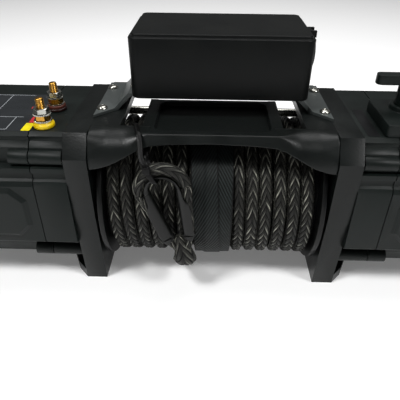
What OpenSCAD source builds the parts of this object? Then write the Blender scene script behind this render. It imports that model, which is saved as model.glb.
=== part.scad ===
// Electric recovery winch: motor and gearbox housings outside two cast supports, a rope drum
// between them, a cast bridge over the drum and a control box above it.
// X runs along the drum, the front faces -Y, and Z = 0 is the mounting plane under the feet.

/* [Mounting] */
// Distance between the foot bolts along the drum
bolt_x = 254; // [240:1:266]
// Distance between the foot bolts from front to back
bolt_y = 114.3; // [106:0.1:118]
// Radius of the foot bolt holes
bolt_r = 5.5; // [4.5:0.1:6]
// Depth of the foot bolt holes
bolt_depth = 36; // [32:1:44]
// Width of the square foot nuts
nut_w = 17; // [15:0.5:18]
// Thickness of the square foot nuts
nut_t = 9; // [7:0.5:10]

/* [Supports] */
// Thickness of each end support along the drum
support_t = 22.2; // [20:0.2:24]
// Height of the top face of the supports
support_h = 179; // [176:1:190]
// Half depth of the flat top of the supports
top_half = 64; // [60:1:66]
// Half depth at the lower edge of the pad
pad_half = 78.5; // [76:0.5:82]
// Drop from the top face to the lower edge of the pad
pad_drop = 21; // [18:1:26]
// Half depth at the feet
foot_half = 67; // [66:0.5:70]
// Height at which the legs start to lean, as a share of the support's height
lean_share = 0.514; // [0.4:0.01:0.6]
// Half depth of the legs above the lean
leg_half = 77; // [74:0.5:78]
// Outward reach of the foot flange
foot_reach = 24; // [14:1:28]
// Thickness of the foot flange
foot_t = 11; // [8:1:13]

/* [Drum] */
// Height of the drum axis, as a share of the support's height
axis_share = 0.4916; // [0.486:0.001:0.5]
// Outer radius of the drum tube
drum_r = 32; // [30:1:34]
// Wall of the drum tube
drum_wall = 5; // [4:0.5:7]
// Radius of the drum flanges, as a share of the support's height
flange_share = 0.4525; // [0.446:0.001:0.458]
// Thickness of the drum flanges
flange_t = 5; // [3:0.5:6]
// Space between a flange and its support
flange_gap = 3.9; // [2.5:0.1:5]
// Radius of the drum journals in their bushes
journal_r = 29; // [27:1:30]
// Wall of the plain bushes
bush_wall = 3; // [2:0.5:4]

/* [Rope] */
// Width of a flattened rope wrap along the drum
wrap_w = 13.2; // [12:0.1:13.4]
// Height of a flattened rope wrap
wrap_h = 12; // [11:0.1:12.6]
// Distance from one wrap to the next
wrap_pitch = 13.85; // [13.8:0.05:13.95]
// Number of wraps in the outer layer
wraps = 14.375; // [10:0.125:14.375]
// Outer radius of the rope pack, as a share of the support's height
pack_share = 0.4302; // [0.42:0.001:0.432]
// Radius of the rope in the eye
rope_r = 5.5; // [4.5:0.1:6]
// Width of the wear strap along the drum
strap_w = 44; // [34:1:46]
// Thickness of the wear strap
strap_t = 1.8; // [1.2:0.1:2]

/* [Housings] */
// Length of the inner ring section of each housing
ring_l = 32; // [28:1:36]
// Overall length from end cap to end cap
total_l = 560; // [540:1:590]
// Wall of the housings
house_wall = 6; // [5:0.5:7]
// Step down from the supports to the housing tops
house_step = 1; // [0.5:0.5:3]
// Half depth of the large lower panels
panel_half = 79; // [78:0.5:80]
// Radius of the tie bolt bosses
boss_r = 7.5; // [6.5:0.5:8]
// Radius of the round bore inside both housings, as a share of their height
bore_share = 0.32585; // [0.315:0.001:0.33]

/* [Motor] */
// Air gap between the armature core and the field poles
air_gap = 1.15; // [0.8:0.05:2]
// Length of the armature core, as a share of what it shares with the commutator
core_share = 0.766; // [0.7:0.01:0.8]
// Radius of the commutator
comm_r = 22; // [18:1:24]
// Radius of the motor shaft
shaft_r = 8; // [7:0.5:9]
// Number of field poles
poles = 4; // [4:2:4]

/* [Gear train] */
// Gear module, as a share of the bore's radius
gear_share = 0.025862; // [0.024:0.0002:0.0262]
// Teeth on each sun gear
sun_n = 12; // [12:12:12]
// Teeth on each planet gear
planet_n = 24; // [24:12:24]
// Length of a planetary stage, as a share of the room in the gear housing
stage_share = 0.2205; // [0.2:0.01:0.24]
// Number of planet gears in a stage
planets = 3; // [3:1:3]
// Clearance of the ring gear in its housing
ring_fit = 0.3; // [0.1:0.1:0.6]

/* [Clutch] */
// Place of the clutch post along the drum
clutch_x = 186; // [182:1:190]
// Place of the clutch post from front to back
clutch_y = -20; // [-24:1:-12]
// Radius of the turning clutch post
post_r = 11; // [9:1:13]
// Height of the turning clutch post
post_h = 34; // [28:1:44]
// Lift of the clutch pin
pin_lift = 8; // [6:0.5:9]

/* [Control box] */
// Width of the control box
box_w = 172; // [150:1:174]
// Depth of the control box
box_d = 98; // [90:1:110]
// Height of the control box
box_h = 60; // [50:1:70]
// Height of the underside of the control box above the supports
box_lift = 17; // [14:1:24]
// Sideways shift of the control box
box_shift = 6; // [0:1:8]
// Place of the front face of the control box
box_front = -22; // [-26:1:-18]
// Wall of the control box
box_wall = 3; // [2.5:0.5:4]
// Thickness of the sheet metal brackets
sheet_t = 3; // [2:0.5:3.5]

/* [Terminals] */
// Place of the terminal studs along the drum
stud_x = -159.5; // [-160:0.5:-158]
// Place of the front stud
stud_front_y = -49; // [-49:1:-46]
// Place of the rear stud
stud_rear_y = -8; // [-16:1:0]
// Radius of the terminal studs
stud_r = 4; // [3:0.5:4.5]
// Height of the studs above the housing
stud_h = 28; // [24:1:34]

/* [Hidden] */

// Shared fits and small features
overrun = 1;
run_fit = 0.05;
soft_gap = 0.3;
seat_gap = 0.3;
cap_steps = 48;

// Heights and radii that follow the supports
axis_z = support_h * axis_share;
pad_z = support_h - pad_drop;
lean_z = support_h * lean_share;
flange_r = support_h * flange_share;
pack_r = support_h * pack_share;
house_top = support_h - house_step;
bore_r = house_top * bore_share;
gear_m = bore_r * gear_share;
box_z = support_h + box_lift;

// Places along the drum
inner_x = bolt_x / 2 - support_t / 2;
outer_x = bolt_x / 2 + support_t / 2;
ring_x0 = outer_x;
ring_x1 = outer_x + ring_l;
gasket_t = 1;
cover_x0 = ring_x1 + gasket_t;
cover_x1 = total_l / 2;
flange_x1 = inner_x - flange_gap;
flange_x0 = flange_x1 - flange_t;

// A straight round bar or hole along the drum
module x_rod(x0, x1, r, y = 0, z = axis_z) {
    translate([x0, y, z])
        rotate([0, 90, 0])
            cylinder(r = r, h = x1 - x0, $fn = cap_steps);
}

// An upright round bar or hole
module z_rod(x, y, z0, z1, r) {
    translate([x, y, z0])
        cylinder(r = r, h = z1 - z0, $fn = cap_steps);
}

// An outline drawn in depth and height, drawn out along the drum
module side_prism(x0, x1) {
    translate([x0, 0, 0])
        rotate([90, 0, 90])
            linear_extrude(x1 - x0)
                children();
}

// An outline drawn in width and height, drawn out from y0 back to y1
module front_prism(y0, y1) {
    translate([0, y1, 0])
        rotate([90, 0, 0])
            linear_extrude(y1 - y0)
                children();
}

// A box between two corners
module block(a, b) {
    translate(a)
        cube(b - a);
}

// A flat shape with round corners
module round_rect(w, d, r) {
    square([w - 2 * r, d], center = true);
    square([w, d - 2 * r], center = true);
    for (sx = [-1, 1])
        for (sy = [-1, 1])
            translate([sx * (w / 2 - r), sy * (d / 2 - r)])
                circle(r = r, $fn = cap_steps);
}

// Both sides of a shape that is the same front and back
module both_y() {
    children();
    mirror([0, 1, 0])
        children();
}

// Both ends of a shape that is the same left and right
module both_x() {
    children();
    mirror([1, 0, 0])
        children();
}

// Both halves of an outline given as points on one side of the middle
function mirrored(half) = concat(half, [for (i = [len(half) - 1:-1:0]) [-half[i][0], half[i][1]]]);

// End supports
nut_lift = 4;
nut_floor = foot_t + nut_lift;
support_half = [
    [foot_half, 0],
    [leg_half, lean_z],
    [pad_half, pad_z],
    [top_half, support_h]
];
bush_r = journal_r + run_fit + bush_wall;
flange_shares = [[0, 1], [0.5, 0.8], [1, 0.42]];
flange_top = foot_t;
rod_r = 5;
rod_thread_r = 3;
rod_away = 2.3;
rod_angle = 42;
rod_low_y = 44.2;
rod_orbit = flange_r + rod_r + rod_away;
rod_low_z = axis_z - sqrt(rod_orbit * rod_orbit - rod_low_y * rod_low_y);
rod_places = [[rod_orbit * cos(rod_angle), axis_z + rod_orbit * sin(rod_angle)], [rod_low_y, rod_low_z]];
bridge_screw_r = 2.5;
bridge_screw_y = [-58, -32, 20];
bridge_screw_drop = 3.8;
bridge_screw_z = support_h - bridge_screw_drop;
bridge_screw_l = 16;

module foot_outline() {
    flare = [for (s = flange_shares) [outer_x + foot_reach * s[0], foot_half * s[1]]];
    polygon(concat(
        [[outer_x - support_t / 2, foot_half]],
        flare,
        [for (i = [len(flare) - 1:-1:0]) [flare[i][0], -flare[i][1]]],
        [[outer_x - support_t / 2, -foot_half]]
    ));
}

module support() {
    difference() {
        union() {
            side_prism(inner_x, outer_x)
                polygon(mirrored(support_half));
            linear_extrude(flange_top)
                foot_outline();
        }
        x_rod(inner_x - overrun, outer_x + overrun, bush_r + run_fit);
        both_y()
            translate([bolt_x / 2, bolt_y / 2, -overrun])
                cylinder(r = bolt_r, h = bolt_depth + overrun, $fn = cap_steps);
        both_y()
            block([bolt_x / 2 - nut_w / 2 - seat_gap, bolt_y / 2 - nut_w / 2 - seat_gap, nut_floor],
                [outer_x + overrun, bolt_y / 2 + nut_w / 2 + seat_gap, nut_floor + nut_t + seat_gap]);
        for (p = rod_places)
            x_rod(inner_x - overrun, outer_x + overrun, rod_thread_r + seat_gap, p[0], p[1]);
        for (y = bridge_screw_y) {
            x_rod(inner_x - overrun, outer_x + overrun, bridge_screw_r + seat_gap, y, bridge_screw_z);
        }
    }
}

module motor_support() {
    color([0.07, 0.07, 0.075])
        mirror([1, 0, 0])
            support();
}

module gear_support() {
    color([0.07, 0.07, 0.075])
        support();
}

// Square nuts that sit in the feet
module foot_nuts() {
    color([0.75, 0.75, 0.77])
        both_x()
            both_y()
                translate([bolt_x / 2, bolt_y / 2, nut_floor])
                    difference() {
                        translate([-nut_w / 2, -nut_w / 2, 0])
                            cube([nut_w, nut_w, nut_t]);
                        translate([0, 0, -overrun])
                            cylinder(r = bolt_r, h = nut_t + 2 * overrun, $fn = cap_steps);
                    }
}

// Two rods that tie the supports together behind the drum
module tie_rods() {
    color([0.6, 0.6, 0.62])
        for (p = rod_places) {
            x_rod(-inner_x, inner_x, rod_r, p[0], p[1]);
            x_rod(-outer_x, outer_x, rod_thread_r, p[0], p[1]);
        }
}

// Bridge over the drum
bridge_wall = 7.5;
bridge_fit = 0;
apron_drop = 39;
apron_low = support_h - apron_drop;
beam_back = -46;
plate_half = 66.5;
plate_back = 21;
end_inner = 88;
end_back = 72;
pocket_half = 55;
pocket_front = -56;
pocket_back = 14;
pocket_depth = 4.5;
pocket_corner = 10;
arch_shares = [[1, 0.16], [0.83, 0.28], [0.75, 0.41], [0.58, 0.67], [0.5, 0.74], [0, 0.8]];
bridge_face = 1.5;

function arch_pts() = [for (s = arch_shares) [inner_x * s[0], apron_low + (support_h - apron_low) * s[1]]];

module bridge_band() {
    polygon([
        [beam_back, support_h],
        [-top_half, support_h],
        [-pad_half + bridge_face, pad_z],
        [-leg_half + bridge_face, apron_low],
        [-leg_half + bridge_face + bridge_wall, apron_low],
        [-pad_half + bridge_face + bridge_wall, pad_z - bridge_wall / 4],
        [-top_half + bridge_wall / 2, support_h - bridge_wall],
        [beam_back, support_h - bridge_wall]
    ]);
}

module bridge_arch() {
    half = arch_pts();
    polygon(concat(
        [[inner_x + overrun, apron_low - overrun], [inner_x + overrun, half[0][1]]],
        half,
        [for (i = [len(half) - 2:-1:0]) [-half[i][0], half[i][1]]],
        [[-inner_x - overrun, half[0][1]], [-inner_x - overrun, apron_low - overrun]]
    ));
}

module top_bridge() {
    plate_mid = (pocket_front + pocket_back) / 2;
    color([0.06, 0.06, 0.065])
        difference() {
            union() {
                difference() {
                    side_prism(-inner_x + bridge_fit, inner_x - bridge_fit)
                        bridge_band();
                    front_prism(-pad_half - overrun, beam_back + overrun)
                        bridge_arch();
                }
                block([-plate_half, beam_back - bridge_wall, support_h - bridge_wall],
                    [plate_half, plate_back, support_h]);
                both_x()
                    block([end_inner, beam_back - bridge_wall, support_h - bridge_wall],
                        [inner_x - bridge_fit, end_back, support_h]);
            }
            translate([0, plate_mid, support_h - pocket_depth])
                linear_extrude(pocket_depth + overrun)
                    round_rect(2 * pocket_half, pocket_back - pocket_front, pocket_corner);
            both_x()
                for (y = bridge_screw_y)
                    x_rod(inner_x - bridge_screw_l, inner_x + overrun, bridge_screw_r + seat_gap, y,
                        bridge_screw_z);
            both_x()
                for (y = bracket_screw_y)
                    z_rod(bracket_screw_x, y, support_h - bracket_screw_l, support_h + overrun,
                        bracket_screw_r + soft_gap);
        }
}

// Screws through the supports into the ends of the bridge
module bridge_screws() {
    color([0.2, 0.2, 0.21])
        both_x()
            for (y = bridge_screw_y)
                x_rod(inner_x - bridge_screw_l + overrun, outer_x, bridge_screw_r, y, bridge_screw_z);
}

// Housing outline, one half, as shares of the panel's half depth and of the housing's height
house_shares = [
    [0, 0.1348], [0.6329, 0.1348], [0.7342, 0.2247], [0.7848, 0.309], [0.962, 0.3258],
    [1, 0.3427], [1, 0.7191], [0.9747, 0.7472], [0.943, 0.7584], [0.943, 0.7921],
    [0.981, 0.8006], [0.981, 0.8287], [0.8797, 0.8371], [0.8797, 0.9298], [0.8481, 0.9466],
    [0.8101, 0.9551], [0.8101, 0.9719], [0.8228, 0.9831], [0.7595, 1], [0, 1]
];
house_low_share = 0.1348;
house_low_z = house_top * house_low_share;
boss_shares = [0.88, 0.8764];
low_boss_shares = [0.76, 0.2107];
boss_y = panel_half * boss_shares[0];
boss_z = house_top * boss_shares[1];
low_boss_y = panel_half * low_boss_shares[0];
low_boss_z = house_top * low_boss_shares[1];
function house_half() = [for (s = house_shares) [panel_half * s[0], house_top * s[1]]];

module house_outline(shrink = 1) {
    half = house_half();
    mid = (house_low_z + house_top) / 2;
    pts = concat(half, [for (i = [len(half) - 2:-1:1]) [-half[i][0], half[i][1]]]);
    polygon([for (p = pts) [p[0] * shrink, mid + (p[1] - mid) * shrink]]);
}

boss_places = [[boss_y, boss_z], [-boss_y, boss_z], [low_boss_y, low_boss_z], [-low_boss_y, low_boss_z]];
bolt_pin_r = 3;
bolt_head_r = 5.5;
bolt_head_h = 5;
boss_start = 1.5;
boss_cap = 3;
boss_out_share = 0.17;
boss_end = cover_x0 + (cover_x1 - cover_x0) * boss_out_share;
face_plate = 8;
shaft_hole_r = 20;

module house_bosses(x0, x1) {
    for (p = boss_places)
        x_rod(x0, x1, boss_r, p[0], p[1]);
}

module boss_holes(x0, x1) {
    for (p = boss_places)
        x_rod(x0, x1, bolt_pin_r + soft_gap, p[0], p[1]);
}

// Inner ring section, bolted against its support
module ring_case(bearing_r) {
    difference() {
        union() {
            side_prism(ring_x0, ring_x1)
                house_outline();
            house_bosses(ring_x0 + boss_start, ring_x1);
        }
        x_rod(ring_x0 + face_plate, ring_x1 + overrun, bore_r);
        x_rod(ring_x0 - overrun, ring_x1 + overrun, bearing_r);
        boss_holes(ring_x0 - overrun, ring_x1 + overrun);
        for (p = boss_places)
            x_rod(ring_x0 - overrun, ring_x0 + boss_start + bolt_head_h, bolt_head_r + soft_gap, p[0], p[1]);
    }
}

module case_gasket() {
    difference() {
        side_prism(ring_x1, cover_x0)
            house_outline(gasket_share);
        x_rod(ring_x1 - overrun, cover_x0 + overrun, bore_r);
        for (p = boss_places)
            x_rod(ring_x1 - overrun, cover_x0 + overrun, boss_r, p[0], p[1]);
    }
}
gasket_share = 0.985;

// Raised octagonal field on the front panel, left bare
badge_in = 10.9;
badge_out = 28;
badge_x0 = cover_x0 + badge_in;
badge_x1 = cover_x1 - badge_out;
badge_low_share = 0.393;
badge_high_share = 0.6994;
badge_cut_share = 0.186;
badge_z0 = house_top * badge_low_share;
badge_z1 = house_top * badge_high_share;
badge_cut = (badge_x1 - badge_x0) * badge_cut_share;
badge_t = 1.5;
module badge() {
    front_prism(-panel_half - badge_t, -panel_half + badge_t)
        polygon([
            [badge_x0, badge_z0 + badge_cut],
            [badge_x0 + badge_cut, badge_z0],
            [badge_x1 - badge_cut, badge_z0],
            [badge_x1, badge_z0 + badge_cut],
            [badge_x1, badge_z1 - badge_cut],
            [badge_x1 - badge_cut, badge_z1],
            [badge_x0 + badge_cut, badge_z1],
            [badge_x0, badge_z1 - badge_cut]
        ]);
}

// Outer cover with its closed and rounded end
end_taper = 10;
end_round = 15;
end_top_round = 12;
end_recess = 3;
end_recess_r = 40;
module end_cover() {
    house_mid = (house_low_z + house_top) / 2;
    difference() {
        union() {
            intersection() {
                side_prism(cover_x0, cover_x1)
                    house_outline();
                linear_extrude(house_top + overrun)
                    round_rect(2 * cover_x1, 2 * panel_half, end_round);
                front_prism(-panel_half - overrun, panel_half + overrun)
                    translate([0, house_mid])
                        round_rect(2 * cover_x1, house_top - house_low_z, end_top_round);
            }
            house_bosses(cover_x0, boss_end);
            badge();
        }
        x_rod(cover_x0 - overrun, cover_x1 - end_taper - house_wall, bore_r);
        x_rod(cover_x1 - end_recess, cover_x1 + overrun, end_recess_r);
        boss_holes(cover_x0 - overrun, boss_end - boss_cap + soft_gap);
    }
}

// Long bolts that hold ring and cover together
module long_bolts() {
    for (p = boss_places) {
        x_rod(ring_x0 + boss_start, boss_end - boss_cap, bolt_pin_r, p[0], p[1]);
        x_rod(ring_x0 + boss_start, ring_x0 + boss_start + bolt_head_h, bolt_head_r, p[0], p[1]);
    }
}

module motor_ring() {
    color([0.05, 0.05, 0.055])
        difference() {
            mirror([1, 0, 0])
                ring_case(bearing_r + run_fit);
            for (y = [stud_front_y, stud_rear_y])
                z_rod(stud_x, y, axis_z + bore_r / 2, house_top + overrun, stud_r + overrun);
        }
}
module motor_cover() {
    color([0.05, 0.05, 0.055])
        difference() {
            union() {
                mirror([1, 0, 0])
                    end_cover();
                x_rod(bearing_end_x - bearing_w - run_fit, bearing_end_x - overrun, bearing_r + bearing_wall);
            }
            x_rod(bearing_end_x - bearing_w, bearing_end_x, bearing_r + run_fit);
        }
}
module gear_ring_case() {
    color([0.05, 0.05, 0.055])
        ring_case(shaft_hole_r);
}
module gear_cover() {
    color([0.05, 0.05, 0.055])
        difference() {
            end_cover();
            z_rod(clutch_x, clutch_y, axis_z, house_top + overrun, pin_r + soft_gap);
        }
}
module case_gaskets() {
    color([0.02, 0.02, 0.02])
        both_x()
            case_gasket();
}
module case_bolts() {
    color([0.7, 0.7, 0.72])
        both_x()
            long_bolts();
}

// Motor
case_t = 4;
case_in = 2;
case_x0 = -cover_x0 - case_in;
pole_t = 9;
pole_angle = 52;
core_in = 6;
motor_rest = 25;
motor_l = cover_x1 - end_taper - house_wall - cover_x0;
case_l = motor_l - case_in - core_in;
core_r = bore_r - seat_gap - case_t - run_fit - pole_t - air_gap;
core_l = (motor_l - motor_rest) * core_share;
core_x1 = case_x0 - core_in;
core_x0 = core_x1 - core_l;
comm_l = (motor_l - motor_rest) * (1 - core_share);
comm_x1 = core_x0 - case_in;
comm_x0 = comm_x1 - comm_l;
plate_t = 4;
brush_w = 10;
brush_l = 15;
bearing_r = 17;
bearing_w = 12;
bearing_wall = 5;
bearing_end_x = -cover_x1 + end_taper + house_wall + bearing_w;
shaft_x0 = -cover_x1 + end_taper + house_wall + overrun;
shaft_in = 4;
shaft_x1 = -inner_x + shaft_in;

module field_case() {
    color([0.35, 0.35, 0.36])
        difference() {
            x_rod(case_x0 - case_l, case_x0, bore_r - seat_gap);
            x_rod(case_x0 - case_l - overrun, case_x0 + overrun, bore_r - seat_gap - case_t);
        }
}

module field_poles() {
    outer = bore_r - seat_gap - case_t - run_fit;
    color([0.5, 0.28, 0.16])
        translate([core_x1, 0, axis_z])
            rotate([0, -90, 0])
                for (i = [0:poles - 1])
                    rotate([0, 0, i * 360 / poles - pole_angle / 2])
                        rotate_extrude(angle = pole_angle, $fn = cap_steps)
                            translate([outer - pole_t, 0])
                                square([pole_t, core_l]);
}

module armature_shaft() {
    color([0.7, 0.7, 0.72])
        x_rod(shaft_x0, shaft_x1, shaft_r);
}

module armature_core() {
    slots = 15;
    slot_w = 3;
    slot_deep = 6;
    color([0.4, 0.4, 0.42])
        difference() {
            x_rod(core_x0, core_x1, core_r);
            x_rod(core_x0 - overrun, core_x1 + overrun, shaft_r + run_fit);
            for (i = [0:slots - 1])
                translate([0, 0, axis_z])
                    rotate([i * 360 / slots, 0, 0])
                        translate([core_x0 - overrun, -slot_w / 2, core_r - slot_deep])
                            cube([core_l + 2 * overrun, slot_w, slot_deep + overrun]);
        }
}

module commutator() {
    color([0.72, 0.45, 0.2])
        difference() {
            x_rod(comm_x0, comm_x1, comm_r);
            x_rod(comm_x0 - overrun, comm_x1 + overrun, shaft_r + run_fit);
        }
}

module brush_plate() {
    color([0.25, 0.18, 0.1])
        difference() {
            x_rod(comm_x0 - plate_t, comm_x0 - overrun, bore_r - case_t - seat_gap - run_fit);
            x_rod(comm_x0 - plate_t - overrun, comm_x0, comm_r + overrun);
        }
}

module brushes() {
    color([0.12, 0.12, 0.12])
        translate([0, 0, axis_z])
            for (i = [0:poles - 1])
                rotate([i * 360 / poles + 180 / poles, 0, 0])
                    translate([comm_x0 - overrun + seat_gap, -brush_w / 2, comm_r + soft_gap])
                        cube([comm_l - 2 * overrun, brush_w, brush_l]);
}

module motor_bearings() {
    color([0.8, 0.8, 0.82])
        for (x = [-ring_x0 - bearing_w - seat_gap, bearing_end_x - bearing_w])
            difference() {
                x_rod(x, x + bearing_w, bearing_r);
                x_rod(x - overrun, x + bearing_w + overrun, shaft_r + run_fit);
            }
}

// Terminals on the motor housing
insul_r = 10;
insul_h = 6;
washer_r = 8.5;
washer_t = 1.5;
hex_r = 7.6;
hex_t = 5;
stud_foot = 14;
stack_z = house_top + insul_h;
stud_ys = [stud_front_y, stud_rear_y];
stack_top = stack_z + 2 * (washer_t + hex_t);
stud_step = 0.2;

module hex_nut(x, y, z) {
    difference() {
        translate([x, y, z])
            cylinder(r = hex_r, h = hex_t, $fn = 6);
        z_rod(x, y, z - overrun, z + hex_t + overrun, stud_r + run_fit);
    }
}

module terminal_studs() {
    color([0.8, 0.62, 0.28])
        for (y = stud_ys) {
            z_rod(stud_x, y, house_top - stud_foot, stack_top, stud_r);
            z_rod(stud_x, y, stack_top, house_top + stud_h, stud_r - stud_step);
        }
}

module terminal_nuts() {
    color([0.78, 0.76, 0.7])
        for (y = stud_ys) {
            hex_nut(stud_x, y, stack_z + washer_t);
            hex_nut(stud_x, y, stack_z + 2 * washer_t + hex_t);
        }
}

module terminal_washers() {
    color([0.82, 0.66, 0.34])
        for (y = stud_ys)
            for (z = [stack_z, stack_z + washer_t + hex_t])
                difference() {
                    z_rod(stud_x, y, z, z + washer_t, washer_r);
                    z_rod(stud_x, y, z - overrun, z + washer_t + overrun, stud_r + run_fit);
                }
}

module insulator(y) {
    difference() {
        z_rod(stud_x, y, house_top, house_top + insul_h, insul_r);
        z_rod(stud_x, y, house_top - overrun, house_top + insul_h + overrun, stud_r + run_fit);
    }
}
module front_insulator() {
    color([0.85, 0.62, 0.05])
        insulator(stud_front_y);
}
module rear_insulator() {
    color([0.2, 0.06, 0.04])
        insulator(stud_rear_y);
}

// Drum
drum_bore = drum_r - drum_wall;
spline_r = 22;
drum_end = 16;

module drum_tube() {
    color([0.45, 0.45, 0.47])
        difference() {
            union() {
                x_rod(-flange_x1, flange_x1, drum_r);
                x_rod(-outer_x + overrun, outer_x - overrun, journal_r);
            }
            x_rod(-flange_x1 + drum_end, flange_x1 - drum_end, drum_bore);
            x_rod(-outer_x - overrun, outer_x, spline_r + seat_gap);
            x_rod(-outer_x, outer_x + overrun, spline_r + seat_gap);
        }
}

module drum_flanges() {
    color([0.12, 0.12, 0.125])
        both_x()
            difference() {
                x_rod(flange_x0, flange_x1, flange_r);
                x_rod(flange_x0 - overrun, flange_x1 + overrun, drum_r + run_fit);
            }
}

module drum_bushes() {
    color([0.7, 0.55, 0.3])
        both_x()
            difference() {
                x_rod(inner_x, outer_x, bush_r);
                x_rod(inner_x - overrun, outer_x + overrun, journal_r + run_fit);
            }
}

// Hexagonal shaft from the motor through the drum to the first sun gear
hex_shaft_r = 7;
thin_r = 4.8;
hub_r = 15;
hub_from = 90;
hub_x0 = -hub_from;
hub_l = 40;
lining_in = 2;
coupler_r = 13;
coupler_l = 14;
coupler_wall = 10;
sun_end = 3;
module drive_shaft() {
    color([0.6, 0.6, 0.62])
        union() {
            difference() {
                x_rod(shaft_x1 - coupler_l, shaft_x1 + coupler_wall, coupler_r);
                x_rod(shaft_x1 - coupler_l - overrun, shaft_x1, shaft_r + run_fit);
            }
            translate([shaft_x1 + coupler_wall - overrun, 0, axis_z])
                rotate([0, 90, 0])
                    cylinder(r = hex_shaft_r, h = inner_x - shaft_x1 - coupler_wall + overrun, $fn = 6);
            x_rod(inner_x - overrun, sun_x(1) + face_w + sun_end, thin_r);
            wheel(sun_x(1), sun_n, 0);
        }
}

module brake_hub() {
    color([0.3, 0.3, 0.31])
        difference() {
            x_rod(hub_x0, hub_x0 + hub_l, hub_r);
            x_rod(hub_x0 - overrun, hub_x0 + hub_l + overrun, hex_shaft_r + run_fit);
        }
}

module brake_lining() {
    color([0.35, 0.28, 0.2])
        difference() {
            x_rod(hub_x0 + lining_in, hub_x0 + hub_l - lining_in, drum_bore - run_fit);
            x_rod(hub_x0, hub_x0 + hub_l, hub_r + seat_gap);
        }
}

// Three planetary stages that share one ring gear
ring_r = bore_r - ring_fit;
tooth_add = 0.8 * gear_m;
tooth_ded = 1.1 * gear_m;
tooth_w = 1.22 * gear_m;
tooth_slope = 0.36;
ring_n = sun_n + 2 * planet_n;
orbit_r = gear_m * (sun_n + planet_n) / 2;
plate_w = 5;
stage_gap = 1.5;
gear_l = cover_x1 - end_taper - house_wall - ring_x0 - face_plate;
stage_l = gear_l * stage_share;
face_w = stage_l - plate_w - 2 * stage_gap;
stage_x0 = ring_x0 + face_plate + stage_gap;
planet_pin_r = 5;
carrier_rim = 4;
carrier_r = orbit_r + planet_pin_r + carrier_rim;
ring_gear_x1 = stage_x0 + 3 * stage_l + carrier_rim;
notches = 12;

// Where the gears of a stage start: stage 3 is next to the drum
function planet_x(stage) = stage_x0 + (3 - stage) * stage_l + plate_w + stage_gap;
function sun_x(stage) = planet_x(stage);

function polar(r, a) = [r * cos(a), r * sin(a)];
function half_angle(w, r) = w / 2 / r * 180 / PI;

// Straight-sided teeth; inside is -1 for a ring gear and 1 for a wheel
function gear_pts(n, inside) =
    let (rp = gear_m * n / 2, tip = rp + inside * tooth_add, root = rp - inside * tooth_ded,
        at = half_angle(tooth_w - 2 * tooth_add * tooth_slope, tip),
        ar = half_angle(tooth_w + 2 * tooth_ded * tooth_slope, root))
    [for (i = [0:n - 1]) for (p = [[root, -ar], [tip, -at], [tip, at], [root, ar]])
        polar(p[0], i * 360 / n + p[1])];

module wheel(x, n, bore, turn = 0, l = face_w) {
    translate([x, 0, axis_z])
        rotate([90, 0, 90])
            difference() {
                rotate([0, 0, turn])
                    linear_extrude(l)
                        polygon(gear_pts(n, 1));
                if (bore > 0)
                    translate([0, 0, -overrun])
                        cylinder(r = bore, h = l + 2 * overrun, $fn = cap_steps);
            }
}

module ring_gear() {
    color([0.4, 0.4, 0.42])
        difference() {
            x_rod(ring_x0 + face_plate + stage_gap / 2, ring_gear_x1, ring_r);
            translate([ring_x0, 0, axis_z])
                rotate([90, 0, 90])
                    linear_extrude(ring_gear_x1)
                        polygon(gear_pts(ring_n, -1));
            translate([clutch_x, 0, axis_z])
                for (i = [0:notches - 1])
                    rotate([i * 360 / notches, 0, 0])
                        translate([0, clutch_y, ring_notch_z])
                            cylinder(r = pin_r + soft_gap, h = ring_r, $fn = cap_steps);
        }
}

// The planets of a stage, each turned so that its teeth sit between the sun's
function planet_turn(a) = a + 180 - 180 / planet_n + sun_n / planet_n * a;
module planet(stage, i) {
    a = i * 360 / planets;
    color([0.6, 0.6, 0.62])
        translate([0, orbit_r * cos(a), orbit_r * sin(a)])
            wheel(planet_x(stage) + stage_gap / 4, planet_n, planet_pin_r + run_fit, planet_turn(a),
                face_w - stage_gap / 2);
}

module carrier_body(stage) {
    x = planet_x(stage);
    difference() {
        union() {
            x_rod(x - plate_w - stage_gap / 2, x - stage_gap / 2, carrier_r);
            for (i = [0:planets - 1])
                x_rod(x - stage_gap, x + face_w, planet_pin_r, orbit_r * cos(i * 360 / planets),
                    axis_z + orbit_r * sin(i * 360 / planets));
        }
        x_rod(x - plate_w - overrun, x + face_w + overrun, thin_r + seat_gap);
    }
}

module carrier(stage) {
    carrier_body(stage);
    wheel(sun_x(stage + 1), sun_n, thin_r + seat_gap, 0, stage_l - plate_w - stage_gap / 2 + overrun / 2);
}

module carrier_1() {
    color([0.5, 0.5, 0.52])
        carrier(1);
}
module carrier_2() {
    color([0.5, 0.5, 0.52])
        carrier(2);
}
module carrier_3() {
    x = planet_x(3);
    color([0.5, 0.5, 0.52])
        difference() {
            union() {
                carrier_body(3);
                x_rod(flange_x1 - drum_end, outer_x - overrun, spline_r);
                x_rod(outer_x - 2 * overrun, x - plate_w, shaft_hole_r - overrun);
            }
            x_rod(flange_x1 - drum_end - overrun, x + overrun, hex_shaft_r + seat_gap);
        }
}

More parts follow.
